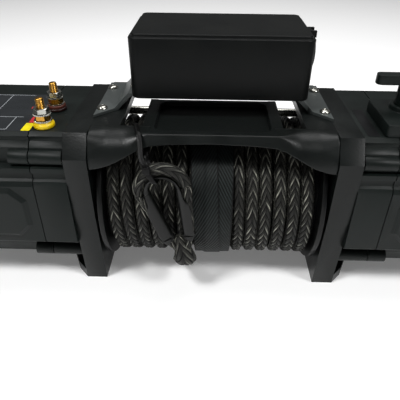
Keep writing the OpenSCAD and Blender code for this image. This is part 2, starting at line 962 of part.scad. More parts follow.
// Clutch on top of the gear housing
pin_r = 4.5;
notch_deep = 4.1;
ring_notch_z = sqrt(ring_r * ring_r - clutch_y * clutch_y) - notch_deep;
clutch_block_h = 12;
clutch_block_x0 = 158;
clutch_block_x1 = 212;
clutch_block_y0 = -60;
clutch_block_y1 = 6;
clutch_corner = 4;
collar_r = 15;
collar_h = 5;
lever_l = 34;
lever_w = 12;
lever_t = 9;
module clutch_base() {
    color([0.06, 0.06, 0.065])
        difference() {
            union() {
                translate([(clutch_block_x0 + clutch_block_x1) / 2, (clutch_block_y0 + clutch_block_y1) / 2,
                    house_top])
                    linear_extrude(clutch_block_h)
                        round_rect(clutch_block_x1 - clutch_block_x0, clutch_block_y1 - clutch_block_y0,
                            clutch_corner);
                z_rod(clutch_x, clutch_y, house_top, house_top + clutch_block_h + collar_h, collar_r);
            }
            z_rod(clutch_x, clutch_y, house_top + clutch_block_h / 2,
                house_top + clutch_block_h + collar_h + overrun, post_r + run_fit);
            z_rod(clutch_x, clutch_y, house_top - overrun, house_top + clutch_block_h, pin_r + soft_gap);
        }
}

module clutch_handle() {
    top = house_top + clutch_block_h + post_h;
    bottom = house_top + clutch_block_h / 2 + seat_gap;
    color([0.05, 0.05, 0.055])
        difference() {
            union() {
                z_rod(clutch_x, clutch_y, bottom, top, post_r);
                translate([clutch_x, clutch_y, top - lever_t])
                    linear_extrude(lever_t)
                        round_rect(2 * lever_l, lever_w, lever_w / 2 - overrun);
            }
            z_rod(clutch_x, clutch_y, bottom - overrun, house_top + clutch_block_h + pin_lift + collar_h,
                pin_r + soft_gap);
        }
}

module clutch_pin() {
    color([0.7, 0.7, 0.72])
        z_rod(clutch_x, clutch_y, axis_z + ring_notch_z + overrun / 2,
            house_top + clutch_block_h + collar_h - overrun, pin_r);
}

// Control box
box_corner = 9;
box_split = 18;
box_mid_y = box_front + box_d / 2;
lid_gap = 0.4;
module box_base() {
    color([0.06, 0.06, 0.065])
        translate([box_shift, box_mid_y, box_z])
            difference() {
                linear_extrude(box_split)
                    round_rect(box_w - 2 * box_wall, box_d - 2 * box_wall, box_corner - box_wall);
                translate([0, 0, box_wall])
                    linear_extrude(box_split)
                        round_rect(box_w - 4 * box_wall, box_d - 4 * box_wall, box_corner - 2 * box_wall);
            }
}

module box_lid() {
    color([0.06, 0.06, 0.065])
        translate([box_shift, box_mid_y, box_z])
            difference() {
                union() {
                    linear_extrude(box_h - box_wall)
                        round_rect(box_w, box_d, box_corner);
                    translate([0, 0, box_h - box_wall])
                        linear_extrude(box_wall)
                            round_rect(box_w - 2 * box_wall, box_d - 2 * box_wall, box_corner - box_wall);
                }
                translate([0, 0, -overrun])
                    linear_extrude(box_h - 2 * box_wall + overrun)
                        round_rect(box_w - 2 * box_wall + 2 * lid_gap, box_d - 2 * box_wall + 2 * lid_gap,
                            box_corner - box_wall);
                translate([box_w / 2 - 2 * box_wall, 0, socket_z])
                    rotate([0, 90, 0])
                        cylinder(r = socket_r + run_fit, h = 3 * box_wall, $fn = cap_steps);
            }
}

// Bent sheet brackets between the bridge ends and the control box
bracket_out = 117;
bracket_in = 98;
bracket_top_in = 62;
bracket_top_out = 84;
bracket_front = -30;
bracket_back = 62;
bracket_cut = 18;
bracket_screw_x = 111.5;
bracket_screw_y = [-13, 45];
bracket_screw_r = 3;
bracket_screw_l = 7;
button_r = 5.5;
button_h = 3;
module box_brackets() {
    color([0.08, 0.08, 0.085])
        difference() {
            both_x()
                intersection() {
                linear_extrude(box_z)
                    polygon([
                        [bracket_out, bracket_front],
                        [bracket_out - bracket_cut, bracket_front + bracket_cut],
                        [bracket_in - sheet_t, bracket_front + bracket_cut + sheet_t],
                        [bracket_top_in, bracket_front + bracket_cut + 2 * sheet_t],
                        [bracket_top_in, bracket_back],
                        [bracket_out, bracket_back]
                    ]);
                front_prism(bracket_front, bracket_back)
                    polygon([
                        [bracket_out, support_h],
                        [bracket_out, support_h + sheet_t],
                        [bracket_in + sheet_t / 2, support_h + sheet_t],
                        [bracket_top_out + sheet_t / 2, box_z],
                        [bracket_top_in, box_z],
                        [bracket_top_in, box_z - sheet_t],
                        [bracket_top_out - sheet_t / 2, box_z - sheet_t],
                        [bracket_in - sheet_t / 2, support_h]
                    ]);
                }
            both_x()
                for (y = bracket_screw_y)
                    z_rod(bracket_screw_x, y, support_h - overrun, support_h + sheet_t + overrun,
                        bracket_screw_r + soft_gap);
        }
}

module bracket_screws() {
    color([0.1, 0.1, 0.1])
        both_x()
            for (y = bracket_screw_y) {
                z_rod(bracket_screw_x, y, support_h + sheet_t, support_h + sheet_t + button_h, button_r);
                z_rod(bracket_screw_x, y, support_h - bracket_screw_l + overrun,
                    support_h + sheet_t + overrun, bracket_screw_r);
            }
}

// Motor contactor inside the control box
cont_w = 92;
cont_d = 56;
cont_h = 34;
cont_stud_r = 3.5;
cont_stud_h = 9;
module contactor() {
    color([0.2, 0.2, 0.22])
        translate([box_shift, box_mid_y, box_z + box_wall]) {
            linear_extrude(cont_h)
                round_rect(cont_w, cont_d, box_wall);
            for (sx = [-1, 1])
                for (sy = [-1, 1])
                    z_rod(sx * cont_w / 3, sy * cont_d / 3, cont_h, cont_h + cont_stud_h, cont_stud_r);
        }
}

// Remote control socket in the end wall of the control box, with a hinged cap
socket_r = 14;
socket_z = 34;
socket_l = 16;
socket_out = 3;
cap_r = 16;
cap_t = 4;
cap_pin_r = 1.4;
cap_pin_z = 19;
ear_y = 7;
ear_t = 4;
ear_top = 3;
tab_half = 4;
socket_x = box_shift + box_w / 2;
module socket() {
    sz = box_z + socket_z;
    color([0.1, 0.1, 0.11])
        difference() {
            union() {
                x_rod(socket_x - socket_l, socket_x + socket_out, socket_r, box_mid_y, sz);
                x_rod(socket_x, socket_x + socket_out, cap_r, box_mid_y, sz);
                block([socket_x, box_mid_y - ear_y - ear_t / 2, sz + socket_r / 2],
                    [socket_x + socket_out, box_mid_y + ear_y + ear_t / 2, sz + cap_pin_z + ear_top]);
                for (s = [-1, 1])
                    block([socket_x, box_mid_y + s * ear_y - ear_t / 2, sz + cap_r],
                        [socket_x + socket_out + cap_t, box_mid_y + s * ear_y + ear_t / 2,
                            sz + cap_pin_z + ear_top]);
            }
            x_rod(socket_x - socket_l + box_wall, socket_x + socket_out + overrun, socket_r - box_wall,
                box_mid_y, sz);
            translate([socket_x + socket_out + cap_t / 2, box_mid_y - ear_y - ear_t, sz + cap_pin_z])
                rotate([-90, 0, 0])
                    cylinder(r = cap_pin_r + run_fit, h = 2 * (ear_y + ear_t), $fn = cap_steps);
        }
}

module socket_cap() {
    sz = box_z + socket_z;
    color([0.03, 0.03, 0.03]) {
        x_rod(socket_x + socket_out + seat_gap, socket_x + socket_out + cap_t, cap_r - overrun,
            box_mid_y, sz);
        block([socket_x + socket_out + seat_gap, box_mid_y - tab_half, sz],
            [socket_x + socket_out + cap_t, box_mid_y + tab_half, sz + cap_pin_z]);
        translate([socket_x + socket_out + cap_t / 2, box_mid_y - ear_y - ear_t / 2, sz + cap_pin_z])
            rotate([-90, 0, 0])
                cylinder(r = cap_pin_r, h = 2 * ear_y + ear_t, $fn = cap_steps);
    }
}

// Rope pack: a plain core under one layer of wraps
wrap_r = pack_r - wrap_h / 2;
core_out = wrap_r - wrap_h / 2 - soft_gap;
wrap_x0 = -wraps * wrap_pitch / 2;
wrap_a0 = 120;
ring_sides = 6;
loop_rings = 24;
end_run = wrap_h;
lug_l = 9;

// The middle line of the wraps, measured in turns from the motor end
function wrap_point(t) = let (a = wrap_a0 + 360 * t)
    [wrap_x0 + wrap_pitch * t, wrap_r * cos(a), axis_z + wrap_r * sin(a)];
function wrap_tangent(t) = let (a = wrap_a0 + 360 * t)
    [0, -sin(a), cos(a)];
function wrap_outward(t) = let (a = wrap_a0 + 360 * t)
    [0, cos(a), sin(a)];

// Middle points and frames of all rings, with a straight run at each end
function wrap_frames() = concat(
    [[wrap_point(0) - end_run * wrap_tangent(0), wrap_outward(0)]],
    [for (i = [0:wraps * loop_rings]) [wrap_point(i / loop_rings), wrap_outward(i / loop_rings)]],
    [[wrap_point(wraps) + end_run * wrap_tangent(wraps), wrap_outward(wraps)]]
);
function wrap_ring(f) = [for (k = [0:ring_sides - 1]) let (b = 360 * k / ring_sides)
    f[0] + [wrap_w / 2 * cos(b), 0, 0] + wrap_h / 2 * sin(b) * f[1]];

// Least distance between the side points of one turn and those of the next
function wrap_gap() = min([for (i = [0:(wraps - 1) * loop_rings - 1])
    norm(wrap_point((i + loop_rings) / loop_rings) - [wrap_w / 2, 0, 0]
        - wrap_point(i / loop_rings) - [wrap_w / 2, 0, 0])]);

module rope_wraps() {
    frames = wrap_frames();
    n = len(frames);
    s = ring_sides;
    pts = [for (f = frames) each wrap_ring(f)];
    sides = [for (i = [0:n - 2]) for (k = [0:s - 1])
        let (a = i * s + k, b = i * s + (k + 1) % s, c = a + s, d = b + s)
        each [[a, b, c], [b, d, c]]];
    first = [for (k = [1:s - 2]) [0, k + 1, k]];
    last = [for (k = [1:s - 2]) [(n - 1) * s, (n - 1) * s + k, (n - 1) * s + k + 1]];
    echo(least_gap_between_wraps = wrap_gap());
    color([0.16, 0.16, 0.17])
        polyhedron(points = pts, faces = concat(sides, first, last));
}

// A lug on the core where an end of the outer layer goes down to the layer below
module core_lug(t, way) {
    a = wrap_a0 + 360 * t;
    translate(wrap_point(t))
        rotate([a, 0, 0])
            translate([-wrap_w / 2, -wrap_h, way > 0 ? end_run + soft_gap : -end_run - lug_l - soft_gap])
                cube([wrap_w, wrap_h * 1.5, lug_l]);
}

module rope_core() {
    color([0.12, 0.12, 0.13])
        difference() {
            union() {
                x_rod(-flange_x0 + soft_gap, flange_x0 - soft_gap, core_out);
                core_lug(0, -1);
                core_lug(wraps, 1);
            }
            x_rod(-flange_x0 - overrun, flange_x0 + overrun, drum_r + soft_gap);
        }
}

// Two overlapped widths of webbing round the pack
strap_x0 = -strap_w / 2;
strap_upper_share = 0.59;
strap_mid = strap_x0 + strap_w * strap_upper_share;
strap_step = 0.5;
strap_r = wrap_r + wrap_h / 2 * sin(360 / ring_sides) + soft_gap;
module wear_strap() {
    color([0.04, 0.04, 0.042])
        difference() {
            union() {
                x_rod(strap_x0, strap_mid, strap_r + strap_t);
                x_rod(strap_mid, strap_x0 + strap_w, strap_r + strap_t - strap_step);
            }
            x_rod(strap_x0 - overrun, strap_x0 + strap_w + overrun, strap_r);
        }
}

// A tube swept along points; side is the direction kept across it, half its two half widths
function unit(v) = v / norm(v);
function along(pts, i) = unit(pts[min(i + 1, len(pts) - 1)] - pts[max(i - 1, 0)]);
function across(side, t) = unit(side - (side * t) * t);
module swept(pts, half, side, sides) {
    n = len(pts);
    rings = [for (i = [0:n - 1])
        let (t = along(pts, i), u = across(side, t), v = cross(t, u))
        for (k = [0:sides - 1])
            let (b = 360 * (k + 0.5) / sides)
            pts[i] + half[i][0] * cos(b) * u + half[i][1] * sin(b) * v];
    walls = [for (i = [0:n - 2]) for (k = [0:sides - 1])
        let (a = i * sides + k, b = i * sides + (k + 1) % sides, c = a + sides, d = b + sides)
        each [[a, c, b], [b, c, d]]];
    first = [for (k = [1:sides - 2]) [0, k, k + 1]];
    last = [for (k = [1:sides - 2]) [(n - 1) * sides, (n - 1) * sides + k + 1, (n - 1) * sides + k]];
    polyhedron(points = rings, faces = concat(walls, first, last));
}

// Rope eye with its thimble, hanging in front of the pack
eye_away = 9;
eye_y = -max(pack_r, leg_half) - eye_away;
eye_up = support_h * 0.2654;
eye_down = support_h * 0.0196;
eye_top = [-46, axis_z + eye_up];
eye_low = [-33, axis_z - eye_down];
eye_top_r = 18.5;
eye_low_r = 11.7;
thimble_r = 6.4;
groove_r = 5.8;
groove_out = 3;
lip_out = 1.5;
throat_r = 8.5;
eye_sides = 10;
eye_steps = 12;
low_steps = 4;
low_turn = 48;
eye_span = norm(eye_low - eye_top);
eye_lean = atan2(eye_low[0] - eye_top[0], eye_top[1] - eye_low[1]);
eye_taper = asin((eye_top_r - eye_low_r) / eye_span);

// The thimble's section as distances outwards and sideways: a channel that opens outwards
section_steps = 6;
function arc_pts(mid, r, a0, a1, steps) =
    [for (i = [0:steps]) let (a = a0 + (a1 - a0) * i / steps) mid + r * [cos(a), sin(a)]];
function thimble_section() =
    let (a0 = acos(lip_out / thimble_r), b0 = acos((lip_out - groove_out) / groove_r))
    concat(
        arc_pts([0, 0], thimble_r, a0, 360 - a0, section_steps),
        arc_pts([groove_out, 0], groove_r, 360 - b0, b0, section_steps)
    );

// Places round the tapered eye: middle of the arc, its radius and the angle
function eye_places() = concat(
    [for (i = [0:eye_steps]) [[0, 0], eye_top_r, -eye_taper + (180 + 2 * eye_taper) * i / eye_steps]],
    [for (i = [0:2 * low_steps]) [[0, -eye_span], eye_low_r,
        180 + eye_taper + (180 - 2 * eye_taper) * i / 2 / low_steps]]
);

module thimble() {
    places = eye_places();
    section = thimble_section();
    n = len(places);
    m = len(section);
    pts = [for (p = places) for (q = section)
        lean_pt(p[0] + (p[1] + q[0]) * [cos(p[2]), sin(p[2])]) + [0, q[1], 0]];
    color([0.03, 0.03, 0.032])
        polyhedron(
            points = pts,
            faces = [for (i = [0:n - 1]) for (k = [0:m - 1])
                let (a = i * m + k, b = i * m + (k + 1) % m,
                    c = (i + 1) % n * m + k, d = (i + 1) % n * m + (k + 1) % m)
                each [[a, b, c], [b, d, c]]]
        );
}

// The rope round the thimble as points in the plane of the eye, from the throat up and round
top_rope = eye_top_r + groove_out;
low_rope = eye_low_r + groove_out;
function eye_flat() = concat(
    [[-rope_r, -eye_span - 2 * low_rope - rope_r]],
    arc_pts([0, -eye_span], low_rope, 180 + low_turn, 180 + eye_taper, low_steps),
    arc_pts([0, 0], top_rope, 180 + eye_taper, -eye_taper, eye_steps),
    arc_pts([0, -eye_span], low_rope, -eye_taper, -low_turn, low_steps),
    [[rope_r, -eye_span - 2 * low_rope - rope_r]]
);
function lean_pt(p) = [
    eye_top[0] + p[0] * cos(eye_lean) - p[1] * sin(eye_lean),
    eye_y,
    eye_top[1] + p[0] * sin(eye_lean) + p[1] * cos(eye_lean)
];

// The throat under the thimble and the tail that follows the pack down
throat_drop = eye_down + eye_low_r + 2.2;
throat_top = [-30, eye_y, axis_z - throat_drop];
tail_x = -25;
tail_r = pack_r + soft_gap + rope_r;
tail_angles = [208, 217, 226, 235];
function tail_pts() = concat(
    [throat_top, throat_top + [1.5, 0, -6], throat_top + [3, 0, -13]],
    [for (a = tail_angles) [tail_x, tail_r * cos(a), axis_z + tail_r * sin(a)]]
);
function tail_half() = [[rope_r, rope_r], [throat_r, rope_r], [throat_r, rope_r], [rope_r, rope_r],
    [rope_r, rope_r], [rope_r, rope_r], [rope_r, rope_r]];

module rope_eye() {
    loop = [for (p = eye_flat()) lean_pt(p)];
    color([0.16, 0.16, 0.17]) {
        swept(loop, [for (p = loop) [rope_r, rope_r]], [0, 1, 0], eye_sides);
        swept(tail_pts(), tail_half(), [1, 0, 0], eye_sides);
    }
}

// Cable tie that holds the eye up to the front beam of the bridge
tie_w = 4.8;
tie_t = 1.4;
tie_head = 7;
tie_up = [[-12.5, -8, 22.5], [-15, -6, 27.5]];
tie_over = [
    [-64, -22, -11], [-65.5, -12, -5], [-68, -2, 1.4], [-71, 9, 1.6], [-73, 18, 1.4], [-74, 20, -1],
    [-73, 20, -8], [-71, 13, -11], [-65, 5, -13]
];
tie_round = [
    [-16, 19, 22.5], [-12.5, 10, 18], [-6.6, 8.5, 9.8], [-4.8, 2, 7.5], [-5.8, -7.2, 9],
    [-9, -8.2, 14.8], [-11.5, -8, 19.5]
];
eye_place = [eye_top[0], eye_y, eye_top[1]];
beam_place = [0, -top_half, support_h];
tie_pts = concat(
    [for (p = tie_up) eye_place + p],
    [for (p = tie_over) beam_place + p],
    [for (p = tie_round) eye_place + p]
);

module cable_tie() {
    color([0.04, 0.04, 0.042]) {
        swept(tie_pts, [for (p = tie_pts) [tie_w * 0.7, tie_t * 0.7]], [1, 0, 0], 4);
        translate(tie_pts[0])
            cube([tie_head, tie_t * 3, tie_head], center = true);
    }
}

motor_support();
gear_support();
top_bridge();
bridge_screws();
tie_rods();
foot_nuts();
motor_ring();
motor_cover();
gear_ring_case();
gear_cover();
case_gaskets();
case_bolts();
field_case();
field_poles();
armature_shaft();
armature_core();
commutator();
brush_plate();
brushes();
motor_bearings();
terminal_studs();
terminal_nuts();
terminal_washers();
front_insulator();
rear_insulator();
drum_tube();
drum_flanges();
drum_bushes();
drive_shaft();
brake_hub();
brake_lining();
ring_gear();
carrier_1();
carrier_2();
carrier_3();
planet(1, 0);  // planet_1a
planet(1, 1);  // planet_1b
planet(1, 2);  // planet_1c
planet(2, 0);  // planet_2a
planet(2, 1);  // planet_2b
planet(2, 2);  // planet_2c
planet(3, 0);  // planet_3a
planet(3, 1);  // planet_3b
planet(3, 2);  // planet_3c
clutch_base();
clutch_handle();
clutch_pin();
box_base();
box_lid();
box_brackets();
bracket_screws();
contactor();
socket();
socket_cap();
rope_core();
rope_wraps();
wear_strap();
rope_eye();
thimble();
cable_tie();
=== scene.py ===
"""Looks of an electric recovery winch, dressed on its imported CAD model.

X runs along the drum from the motor to the gearbox, the front faces -Y, Z is up, in metres.
Plain sizes are in millimetres and are multiplied by MM where a shape is made.
"""
import itertools
import logging
import math
from collections.abc import Callable
from dataclasses import dataclass
from enum import Enum

import bmesh
import bpy
import numpy as np
from mathutils import Matrix, Vector


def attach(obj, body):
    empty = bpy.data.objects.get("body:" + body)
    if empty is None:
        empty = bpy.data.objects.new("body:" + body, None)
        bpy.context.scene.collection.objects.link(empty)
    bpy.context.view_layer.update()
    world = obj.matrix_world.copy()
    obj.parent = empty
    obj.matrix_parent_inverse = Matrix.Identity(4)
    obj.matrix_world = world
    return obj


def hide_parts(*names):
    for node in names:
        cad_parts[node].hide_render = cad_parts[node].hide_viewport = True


log = logging.getLogger("winch")
MM = 0.001
# Height of the drum's axis.
AXIS_Z = 88 * MM
# The braid: length of one pick, columns of picks round the rope, and picks that a strand climbs in a column.
PICK = 9.0 * MM
COLUMNS = 6
SLANT = 1.5
# Edges sharper than this are rounded, in degrees.
SHARP_DEG = 28.0


def linear(hex_colour: str) -> tuple[float, float, float, float]:
    """Turn an sRGB hex colour to linear.

    Args:
        hex_colour: Six hex digits, such as "1c1d1f".

    Returns:
        Red, green, blue and an alpha of 1.
    """
    parts = [int(hex_colour[i:i + 2], 16) / 255 for i in (0, 2, 4)]
    return (*[c / 12.92 if c <= 0.04045 else ((c + 0.055) / 1.055) ** 2.4 for c in parts], 1.0)


def add_node(tree: bpy.types.NodeTree, kind: str, settings: dict | None = None,
             inputs: dict | None = None) -> bpy.types.Node:
    """Add a node with its settings and its links or values.

    Args:
        tree: The node tree.
        kind: The node's type name without "ShaderNode".
        settings: Attributes to set.
        inputs: Socket values by name or number; an output socket is linked.

    Returns:
        The new node.
    """
    node = tree.nodes.new("ShaderNode" + kind)
    for key, value in (settings or {}).items():
        setattr(node, key, value)
    for key, value in (inputs or {}).items():
        if isinstance(value, bpy.types.NodeSocket):
            tree.links.new(value, node.inputs[key])
        else:
            node.inputs[key].default_value = value
    return node


def calc(tree: bpy.types.NodeTree, operation: str, *values: object,
         clamp: bool = False) -> bpy.types.NodeSocket:
    """Add a Math node.

    Args:
        tree: The node tree.
        operation: The Math operation.
        values: Numbers or output sockets, in order.
        clamp: Whether the result is kept between 0 and 1.

    Returns:
        Its output socket.
    """
    settings = {"operation": operation, "use_clamp": clamp}
    return add_node(tree, "Math", settings, dict(enumerate(values))).outputs["Value"]


def new_material(name: str, principled: dict) -> tuple[bpy.types.Material, bpy.types.NodeTree,
                                                       bpy.types.Node]:
    """Start a material with a Principled shader.

    Args:
        name: The material's name.
        principled: Values for the shader's sockets.

    Returns:
        The material, its tree and its shader node.
    """
    mat = bpy.data.materials.new(name)
    mat.use_nodes = True
    tree = mat.node_tree
    shader = tree.nodes["Principled BSDF"]
    for key, value in principled.items():
        shader.inputs[key].default_value = value
    return mat, tree, shader


@dataclass(frozen=True)
class CastFinish:
    """Cast or moulded surface with a fine grain: powder coat or textured plastic."""

    name: str
    dark: str
    light: str
    roughness: float
    grain_mm: float
    grain_height_mm: float
    specular: float = 0.3
    mottle_mm: float = 30.0
    coat: float = 0.0

    def make(self) -> bpy.types.Material:
        """Build the material.

        Returns:
            The material.
        """
        mat, tree, shader = new_material(self.name, {
            "Coat Weight": self.coat, "Coat Roughness": 0.25, "Specular IOR Level": self.specular})
        coord = add_node(tree, "TexCoord").outputs["Object"]
        grain = add_node(tree, "TexNoise", {}, {
            "Vector": coord, "Scale": 1000 / self.grain_mm, "Detail": 3.0, "Roughness": 0.6})
        mottle = add_node(tree, "TexNoise", {}, {
            "Vector": coord, "Scale": 1000 / self.mottle_mm, "Detail": 4.0})
        mixed = add_node(tree, "MapRange", {}, {
            "Value": mottle.outputs["Fac"], "From Min": 0.3, "From Max": 0.7})
        colour = add_node(tree, "Mix", {"data_type": "RGBA"}, {
            "Factor": mixed.outputs["Result"], 6: linear(self.dark), 7: linear(self.light)})
        tree.links.new(colour.outputs[2], shader.inputs["Base Color"])
        tone_mix = calc(tree, "MULTIPLY_ADD", mixed.outputs["Result"], 0.5, grain.outputs["Fac"])
        rough = add_node(tree, "MapRange", {}, {
            "Value": tone_mix, "From Min": 0.3, "From Max": 1.1,
            "To Min": self.roughness - 0.09, "To Max": self.roughness + 0.09})
        tree.links.new(rough.outputs["Result"], shader.inputs["Roughness"])
        bump = add_node(tree, "Bump", {}, {
            "Height": grain.outputs["Fac"], "Distance": self.grain_height_mm * MM, "Strength": 1.0})
        tree.links.new(bump.outputs["Normal"], shader.inputs["Normal"])
        return mat


@dataclass(frozen=True)
class MetalFinish:
    """Turned, plated or drawn metal with fine marks along one direction."""

    name: str
    dark: str
    light: str
    roughness: float
    stretch: tuple[float, float, float] = (1.0, 1.0, 1.0)
    mark_mm: float = 0.5
    mark_height_mm: float = 0.01

    def make(self) -> bpy.types.Material:
        """Build the material.

        Returns:
            The material.
        """
        mat, tree, shader = new_material(self.name, {"Metallic": 1.0})
        coord = add_node(tree, "TexCoord").outputs["Object"]
        turned_way = add_node(tree, "Mapping", {}, {"Vector": coord, "Scale": self.stretch})
        marks = add_node(tree, "TexNoise", {}, {
            "Vector": turned_way.outputs["Vector"], "Scale": 1000 / self.mark_mm, "Detail": 2.0})
        cloud = add_node(tree, "TexNoise", {}, {"Vector": coord, "Scale": 160.0, "Detail": 3.0})
        colour = add_node(tree, "Mix", {"data_type": "RGBA"}, {
            "Factor": cloud.outputs["Fac"], 6: linear(self.dark), 7: linear(self.light)})
        tree.links.new(colour.outputs[2], shader.inputs["Base Color"])
        rough = add_node(tree, "MapRange", {}, {
            "Value": marks.outputs["Fac"], "To Min": self.roughness - 0.1, "To Max": self.roughness + 0.1})
        tree.links.new(rough.outputs["Result"], shader.inputs["Roughness"])
        bump = add_node(tree, "Bump", {}, {
            "Height": marks.outputs["Fac"], "Distance": self.mark_height_mm * MM, "Strength": 1.0})
        tree.links.new(bump.outputs["Normal"], shader.inputs["Normal"])
        return mat


@dataclass(frozen=True)
class BraidFinish:
    """Braided fibre rope: threads run along each strand, every pick has its own tone, and shade and glints
    are painted on.

    The UV map counts columns of picks across and pick lengths along, as the relief does.
    """

    name: str
    dark: str
    light: str
    glint: str
    roughness: float = 0.4
    specular: float = 0.26
    gap_roughness: float = 0.5
    thread_height_mm: float = 0.45
    # Where the painted glint line runs across a strand, and how far it reaches to each side.
    glint_at: float = 0.66
    glint_half: float = 0.17

    def make(self) -> bpy.types.Material:
        """Build the material.

        Returns:
            The material.
        """
        mat, tree, shader = new_material(self.name, {"Specular IOR Level": self.specular})
        uv = add_node(tree, "UVMap", {"uv_map": "braid"}).outputs["UV"]
        parts = add_node(tree, "SeparateXYZ", {}, {0: uv})
        across, along = parts.outputs["X"], parts.outputs["Y"]
        column = calc(tree, "FLOOR", across)
        # Strands climb one way in even columns and the other way in odd ones.
        way = calc(tree, "MULTIPLY_ADD", calc(tree, "MODULO", column, 2.0), -2.0, 1.0)
        strand = calc(tree, "MULTIPLY_ADD", calc(tree, "MULTIPLY", across, SLANT), way, along)
        edge = calc(tree, "PINGPONG", strand, 0.5)
        run = calc(tree, "PINGPONG", across, 0.5)
        place = add_node(tree, "CombineXYZ", {}, {0: calc(tree, "FLOOR", strand), 1: column})
        tone = add_node(tree, "TexWhiteNoise", {"noise_dimensions": "3D"}, {
            "Vector": place.outputs["Vector"]}).outputs["Value"]
        # The threads' pattern is fine across a strand and stretched along it.
        lengthwise = add_node(tree, "CombineXYZ", {}, {
            0: calc(tree, "MULTIPLY", strand, 9.0), 1: calc(tree, "MULTIPLY", across, 0.8), 2: column})
        threads = add_node(tree, "TexNoise", {}, {
            "Vector": lengthwise.outputs["Vector"], "Scale": 1.6, "Detail": 3.0, "Roughness": 0.65})
        fibre = threads.outputs["Fac"]
        # Painted shade: the gaps between strands and the picks' ends, where the columns meet, are painted
        # dark, and the crowns light.
        crown = add_node(tree, "MapRange", {"interpolation_type": "SMOOTHSTEP"}, {
            "Value": edge, "From Min": 0.03, "From Max": 0.2}).outputs["Result"]
        lit = calc(tree, "MULTIPLY", crown, calc(tree, "MULTIPLY_ADD", run, 1.3, 0.35), clamp=True)
        # Each pick's random tone scales the painted shade.
        tone_mix = calc(tree, "MULTIPLY", lit, calc(tree, "MULTIPLY_ADD", tone, 0.8, 0.4))
        body = calc(tree, "MULTIPLY", tone_mix, calc(tree, "MULTIPLY_ADD", fibre, 1.8, -0.3), clamp=True)
        base = add_node(tree, "Mix", {"data_type": "RGBA"}, {
            "Factor": body, 6: linear(self.dark), 7: linear(self.light)})
        # Painted glints: bright lines along one side of some strands, broken up by the threads' noise and
        # faded where the painted shade is.
        side = calc(tree, "FRACT", strand)
        line = add_node(tree, "MapRange", {"interpolation_type": "SMOOTHSTEP"}, {
            "Value": calc(tree, "ABSOLUTE", calc(tree, "SUBTRACT", side, self.glint_at)),
            "From Min": self.glint_half, "From Max": 0.03}).outputs["Result"]
        glint_breakup = add_node(tree, "MapRange", {}, {
            "Value": calc(tree, "MULTIPLY", fibre, calc(tree, "MULTIPLY_ADD", tone, 0.5, 0.7)),
            "From Min": 0.46, "From Max": 0.68})
        painted_glint = calc(tree, "MULTIPLY", glint_breakup.outputs["Result"], calc(tree, "MULTIPLY", line, lit))
        colour = add_node(tree, "Mix", {"data_type": "RGBA"}, {
            "Factor": calc(tree, "MULTIPLY", painted_glint, 0.8), 6: base.outputs[2], 7: linear(self.glint)})
        tree.links.new(colour.outputs[2], shader.inputs["Base Color"])
        # Crowns shine a little and gaps are dull.
        gap = calc(tree, "MULTIPLY_ADD", lit, -self.gap_roughness,
                   self.gap_roughness + self.roughness - 0.15)
        rough = calc(tree, "MULTIPLY_ADD", fibre, 0.3, gap, clamp=True)
        tree.links.new(rough, shader.inputs["Roughness"])
        bump = add_node(tree, "Bump", {}, {
            "Height": fibre, "Distance": self.thread_height_mm * MM, "Strength": 1.0})
        tree.links.new(bump.outputs["Normal"], shader.inputs["Normal"])
        return mat


@dataclass(frozen=True)
class TwillFinish:
    """Polyester twill webbing: fine slanting ribs, drawn along the piece's UV map in metres, and dark
    selvedges that are partly painted shade.
    """

    name: str
    dark: str
    light: str
    # The real ribs are about 1.5 mm apart; they are drawn coarser so that the render shows them.
    rib_mm: float = 2.6
    rib_height_mm: float = 0.35
    slant_deg: float = 28.0
    width_mm: float = 27.0
    selvedge_and_shade_mm: float = 1.3

    def make(self) -> bpy.types.Material:
        """Build the material.

        Returns:
            The material.
        """
        mat, tree, shader = new_material(self.name, {
            "Roughness": 0.55, "Sheen Weight": 0.02, "Sheen Roughness": 0.4, "Specular IOR Level": 0.16})
        uv = add_node(tree, "UVMap", {"uv_map": "cloth"}).outputs["UV"]
        slanted = add_node(tree, "Mapping", {}, {
            "Vector": uv, "Rotation": (0.0, 0.0, math.radians(self.slant_deg))})
        ribs = add_node(tree, "TexWave", {"wave_type": "BANDS", "bands_direction": "X"}, {
            "Vector": slanted.outputs["Vector"], "Scale": math.pi / 10 / (self.rib_mm * MM),
            "Distortion": 0.5, "Detail": 1.0, "Detail Scale": 2.0})
        cloud = add_node(tree, "TexNoise", {}, {"Vector": uv, "Scale": 45.0, "Detail": 2.0})
        amount = calc(tree, "MULTIPLY", ribs.outputs["Fac"],
                      calc(tree, "MULTIPLY_ADD", cloud.outputs["Fac"], 1.6, 0.1), clamp=True)
        # The selvedges are left dark: partly the webbing's real selvedge and partly painted shade for the
        # shadow where one turn lies over the other.
        across = add_node(tree, "SeparateXYZ", {}, {0: uv}).outputs["X"]
        off = calc(tree, "ABSOLUTE", calc(tree, "SUBTRACT", across, self.width_mm * MM / 2))
        inside = calc(tree, "LESS_THAN", off, (self.width_mm / 2 - self.selvedge_and_shade_mm) * MM)
        colour = add_node(tree, "Mix", {"data_type": "RGBA"}, {
            "Factor": calc(tree, "MULTIPLY", amount, inside), 6: linear(self.dark), 7: linear(self.light)})
        tree.links.new(colour.outputs[2], shader.inputs["Base Color"])
        bump = add_node(tree, "Bump", {}, {
            "Height": ribs.outputs["Fac"], "Distance": self.rib_height_mm * MM, "Strength": 1.0})
        tree.links.new(bump.outputs["Normal"], shader.inputs["Normal"])
        return mat


